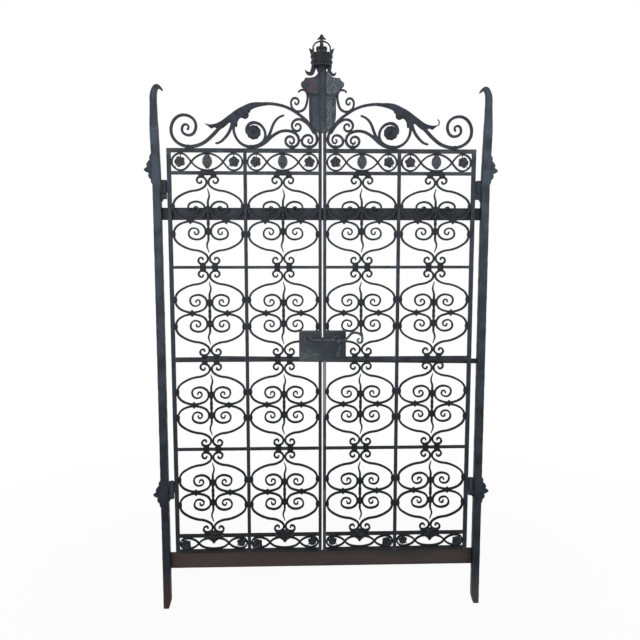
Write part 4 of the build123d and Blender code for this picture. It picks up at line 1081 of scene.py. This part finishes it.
crown_skins = [crown_ring()] + fleur() + [turned(rim_leaf(), k) for k in (1, 3)]
crown_skins += [turned(crown_arch(), k) for k in range(4)]
stalk = lathe(crown_x, -crown_radius - 1, crown_top - 5, [3, 2.5, 2.5], [0, 10, 18], 10)
tip = ball(crown_x, -crown_radius - 2, crown_top + 15, 5, 7, 12)
crown_skins += [turned(part, k + 0.5) for k in range(4) for part in (stalk, tip)]
bead = ball(crown_x, -crown_radius + 10, crown_floor + crown_neck_height, 5.5, 7, 10)
crown_skins += [turned(bead, k / crown_beads * 4) for k in range(crown_beads)]
crown_skins += [
    hanging_tip([(-44, 32, -92), (-49, 4, -108), (-68, -18, 178), (-94, 3, 112)], [26, 28, 27, 22, 15, 3]),
    hanging_tip([(46, 32, -90), (44, 6, -86), (53, -14, -52), (67, -23, 0), (83, -9, 72)],
                [25, 26, 21, 16, 15, 13, 3]),
    lathe(crown_x, 0, shield_top, [25, 27, 27], [0.6, 2, 8], 30) * (1, 0.55, 1),
    lathe(seam - 14, 0, shield_top, [8, 8], [-12, 3], 16)]
forge("crown_over_shield", crown_skins, "leaf_left", crown_finish, "crown", 55)

# The lock. A closed iron case is riveted to each closing stile. The left case carries a
# curled catch. The right one carries a lever on a square boss, with a nose to the seam and an
# arched handle, and below it a drop with the keyhole. Old dark blue paint, scuffed.
case_width = 136
case_height = 180
case_bottom = 1550
case_depth = 20
lip_width = 11.8
lip_height = 140
lip_lap = 3.8
latch_height = 1676
latch_pivot_offset = 98
latch_bar = 11
latch_depth = 8
latch_stand_off = 5
latch_seam_clear = 3
handle_reach = 138
case_front = -leaf_depth / 2 - case_depth
latch_plane = case_front - latch_stand_off - latch_depth / 2
catch_end = seam - latch_seam_clear - latch_bar / 2
pivot_x, pivot_z = seam + latch_pivot_offset, latch_height - latch_bar / 2
hole_x, hole_z = pivot_x - 5, case_bottom + 0.18 * case_height


def scuffs(tree, place, x, z, colour):
    """Fine pale scratches and a greenish chalk on the lower left of the left case, and a pale top edge."""
    hair, cloud = clouds(tree, place, 9, 6.0, (0.35, 1, 1.6)), clouds(tree, place, 34, 4.0)
    lower_left = (x, seam - 10, seam - 40), (z, case_bottom + 95, case_bottom + 35)
    colour = layer(tree, colour, "#47524d", *lower_left, (cloud, 0.35, 0.6, 0.6))
    colour = layer(tree, colour, "#747b7e", *lower_left, (hair, 0.55, 0.68, 0.7))
    case_top = case_bottom + case_height
    return layer(tree, colour, "#565a5c", (z, case_top - 16, case_top - 6), (hair, 0.4, 0.6, 0.5))


# Rolled plate, smooth and dark blue; the left case is the more worn and greyer.
left_case_finish = forge_paint("scuffed_blue_black_case", "#1f262d", "#2b333b", hammer_mark=40, dent=0.35,
                               rough=0.42, dust_and_top_light=0.5, rub=0.7, extra=scuffs)
right_case_finish = forge_paint("blue_black_case", "#121b24", "#1b2631", hammer_mark=40, dent=0.35,
                                rough=0.42, dust_and_top_light=0.5, extra=scuffs)
# Iron that hands keep bare: paler and smoother, with dust and a painted highlight on top.
latch_finish = forge_paint("handled_iron_latch", "#2c3138", "#4b525b", hammer_mark=9, dent=0.5, rough=0.36,
                           dust_and_top_light=0.8, rub=1.0)
# The dark inside the lock.
hole_black = forge_paint("keyhole_shadow", "#060607", "#0a0a0b", side="#060607", rough=0.8, dust_and_top_light=0, rub=0)


def lock_case(middle_x):
    """A flat box with eased edges."""
    line = straight(middle_x, case_bottom, middle_x, case_bottom + case_height, 6)
    return forged_bar(line, case_width, case_depth, 1.5, dent=0.05, pitch=90,
                      middle=case_front + case_depth / 2)


def square_boss(x, z, depth, radius, front):
    """A four-sided boss, domed on its face: rings along its axis whose plan goes from square to round."""
    t, turn = np.linspace(0, 0.49 * np.pi, 10)[:, None], once_round(32)
    square = 1 / (np.abs(np.cos(turn)) ** 3 + np.abs(np.sin(turn)) ** 3) ** (1 / 3)
    radii = radius * np.cos(t) ** 0.4 * (1 + (square - 1) * np.cos(t))
    radii = np.concatenate([0.9 * radii[:1], radii])
    deep = front + depth * np.concatenate([[[1.0]], 0.6 - 0.6 * np.sin(t)])
    return rings(x + radii * np.cos(turn), deep, z + radii * np.sin(turn))


def keeper():
    """The catch on the left case: a bar to the seam whose far end rises and curls over."""
    line = bent_line((catch_end, latch_height), (91, 91), [
        (0, 0, 180), (-0.52, 0, 180), (-0.76, 0.24, 120), (-0.88, 0.31, 180), (-1.1, 0.1, -90),
        (-1.0, -0.07, 0), (-0.92, 0.03, 90)], 3)
    bar = forged_bar(line, [11, 11, 11, 10, 9, 8, 6], latch_depth, 2.5, middle=latch_plane, tips="start end")
    stem = lathe(catch_end - 45, case_front, latch_height, [5, 4.5, 4.5], [-1, 2, 6], 14, forwards=True)
    return [bar, stem, ball(catch_end - 66, case_front - 1, latch_height - 19, 5)]


def lever():
    """The lever on its boss: nose to the left, an upright horn, and the arched handle to the right."""
    x, z = pivot_x, pivot_z
    nose = bent_line((0, 0), (1, 1), [(2 * seam - catch_end, latch_height, 0), (seam + 56, latch_height, 0),
                                      (x - 4, z, -12)], 4)
    horn = bent_line((x, z), (1, 1), [(-48, 6, 20), (-26, 22, 50), (-12, 30, 0), (-4, 20, -80)], 3)
    arm = bent_line((x, z), (handle_reach, handle_reach), [
        (0, 0, 0), (0.27, 0.05, 34), (0.67, 0.35, 0), (1, 0.13, -85), (0.9, -0.1, 180), (0.79, 0.01, 90),
        (0.86, 0.09, 10)], 4)
    bars = [(nose, [11, 11, 10, 10], latch_depth, 2.5, "start"),
            (horn, [5, 8, 8, 5], latch_depth - 2, 2, "start end"),
            (arm, [12, 14, 15, 15, 15, 14, 12, 9], latch_depth, 2.5, "end")]
    skins = [forged_bar(line, widths, depth, corner, middle=latch_plane, tips=tips)
             for line, widths, depth, corner, tips in bars]
    return skins + [square_boss(x, z, latch_depth + 4, 16, case_front - latch_stand_off - latch_depth - 4)]


def key_drop():
    """The drop below the lever: a slim tail that widens to a round end, raised round the keyhole."""
    line = bent_line((0, 0), (1, 1), [(pivot_x + 8, pivot_z - 22, -100), (hole_x + 1, hole_z + 12, -100)], 4)
    tail = forged_bar(line, [5, 7, 10, 15], 4, 1.2, middle=case_front - 1, tips="start")
    ring = lathe(hole_x, case_front, hole_z, [13, 13, 11.5, 7, 5, 5], [-1, 1.5, 3, 3.2, 1.6, 0.4],
                 forwards=True)
    return [tail, ring]


def key_hole():
    """The dark of the hole and its slot, just proud of the case."""
    disc = lathe(hole_x, case_front, hole_z + 1, [3.4, 3.4], [0.2, 1.2], 18, forwards=True)
    slot = forged_bar(straight(hole_x, hole_z, hole_x, hole_z - 5, 2), 2.4, 1, 0.4, middle=case_front - 0.7)
    return [disc, slot]


lip_x = seam + lip_lap - lip_width / 2
lip = forged_bar(straight(lip_x, case_bottom + 1, lip_x, case_bottom + lip_height, 6), lip_width, 6, 1,
                 dent=0, middle=case_front + 4)
pivot_stem = lathe(pivot_x, case_front, pivot_z, [12, 12], [-1, 4.4], 20, forwards=True)
left_case = [lock_case(meeting_right - case_width / 2), lip]
right_case = [lock_case(post_spacing - meeting_right + case_width / 2),
              rivet(seam + 130, case_bottom + 62, case_front, 3.5)]
forge("left_lock_case", left_case, "leaf_left", left_case_finish, "keeper_case")
forge("left_keeper_catch", keeper(), "leaf_left", latch_finish, "keeper_case")
forge("right_lock_case", right_case, "leaf_right", right_case_finish, "lever_case")
forge("right_key_drop", [*key_drop(), pivot_stem], "leaf_right", latch_finish, "lever_case")
forge("right_keyhole", key_hole(), "leaf_right", hole_black, "lever_case")
forge("lever_and_handle", lever(), "latch", latch_finish, "latch_lever")

# The room. A pale studio floor that rises into a pale backdrop, a broad soft lamp from the front
# and above and a weaker one from the right, and an even pale sky. Its lengths are in metres.
floor_white = "#f3f3f1"


def studio_floor():
    """A floor with a soft sweep up behind: a profile in depth and height, carried across."""
    turn = np.linspace(0, np.pi / 2, 24)
    depth = np.concatenate([[-9.0, -4.0, 0.0, 3.0], 5 + 3 * np.sin(turn), [8.0]])
    height = np.concatenate([[0.0, 0.0, 0.0, 0.0], 3 - 3 * np.cos(turn), [9.0]])
    points = rings(np.linspace(-9, 11, 12)[:, None], depth[None, :], height[None, :])
    rows, cols, _ = points.shape
    own = np.arange(rows * cols).reshape(rows, cols)
    faces = np.stack([own[:-1, :-1], own[1:, :-1], own[1:, 1:], own[:-1, 1:]], axis=-1).reshape(-1, 4)
    mesh = bpy.data.meshes.new("studio_floor")
    mesh.from_pydata(points.reshape(-1, 3).tolist(), [], faces.tolist())
    mesh.shade_smooth()
    floor = bpy.data.objects.new("studio_floor", mesh)
    bpy.context.scene.collection.objects.link(floor)
    return floor


def seen_directly(tree):
    """1 for rays from the eye or from a reflection, which see plain white, and 0 for light."""
    ray = add(tree, "LightPath")
    return add(tree, "Math", {0: ray.outputs["Is Camera Ray"], 1: ray.outputs["Is Glossy Ray"]},
               operation="MAXIMUM")


floor = studio_floor()
paper = bpy.data.materials.new("studio_paper")
paper.use_nodes = True
tree = paper.node_tree
matt = feed(tree.nodes["Principled BSDF"], {"Base Color": floor_white, "Roughness": 0.95})
white = add(tree, "Emission", {"Color": "#ffffff", "Strength": 1.0})
away = add(tree, "VectorMath", {0: add(tree, "TexCoord").outputs["Object"], 1: (seam * mm, 0, 0)},
           operation="DISTANCE")
fade = add(tree, "MapRange", {"Value": away, "From Min": 0.8, "From Max": 4.0, "To Min": 0.93, "To Max": 1})
bright = add(tree, "Math", {0: seen_directly(tree), 1: fade}, operation="MULTIPLY")
feed(tree.nodes["Material Output"], {"Surface": add(tree, "MixShader", {0: bright, 1: matt, 2: white})})
floor.data.materials.append(paper)

world = bpy.data.worlds.new("studio_sky")
world.use_nodes = True
bpy.context.scene.world = world
tree = world.node_tree
level = add(tree, "MapRange", {"Value": seen_directly(tree), "To Min": 0.5, "To Max": 1.0})
feed(tree.nodes["Background"], {"Color": "#ffffff", "Strength": level})


def soft_lamp(name, place, aim, size, power):
    """A square area lamp that looks at a point."""
    data = bpy.data.lights.new(name, "AREA")
    data.shape = "SQUARE"
    data.size = size
    data.energy = power
    lamp = bpy.data.objects.new(name, data)
    lamp.location = place
    away = np.array(place) - np.array(aim)
    lamp.rotation_euler = (math.acos(away[2] / np.linalg.norm(away)), 0, math.atan2(away[0], -away[1]))
    bpy.context.scene.collection.objects.link(lamp)


soft_lamp("front_softbox", (-1.2, -6.0, 2.8), (seam * mm, 0, 1.4), 3.0, 106)
soft_lamp("right_softbox", (5.0, -4.0, 2.6), (seam * mm, 0, 1.5), 2.0, 38)

# The camera stands four metres off, a little left of the seam and at the height of the upper
# rows. It looks a little down and is turned two degrees to the right.
eye = bpy.data.cameras.new("eye")
eye.sensor_width = 36
eye.lens = 37.9
camera = bpy.data.objects.new("eye", eye)
camera.location = (0.806, -4.0, 2.232)
camera.rotation_euler = (math.radians(90 - 6.29), 0, math.radians(-2.0))
bpy.context.scene.collection.objects.link(camera)
bpy.context.scene.camera = camera
bpy.context.scene.view_settings.view_transform = "Standard"
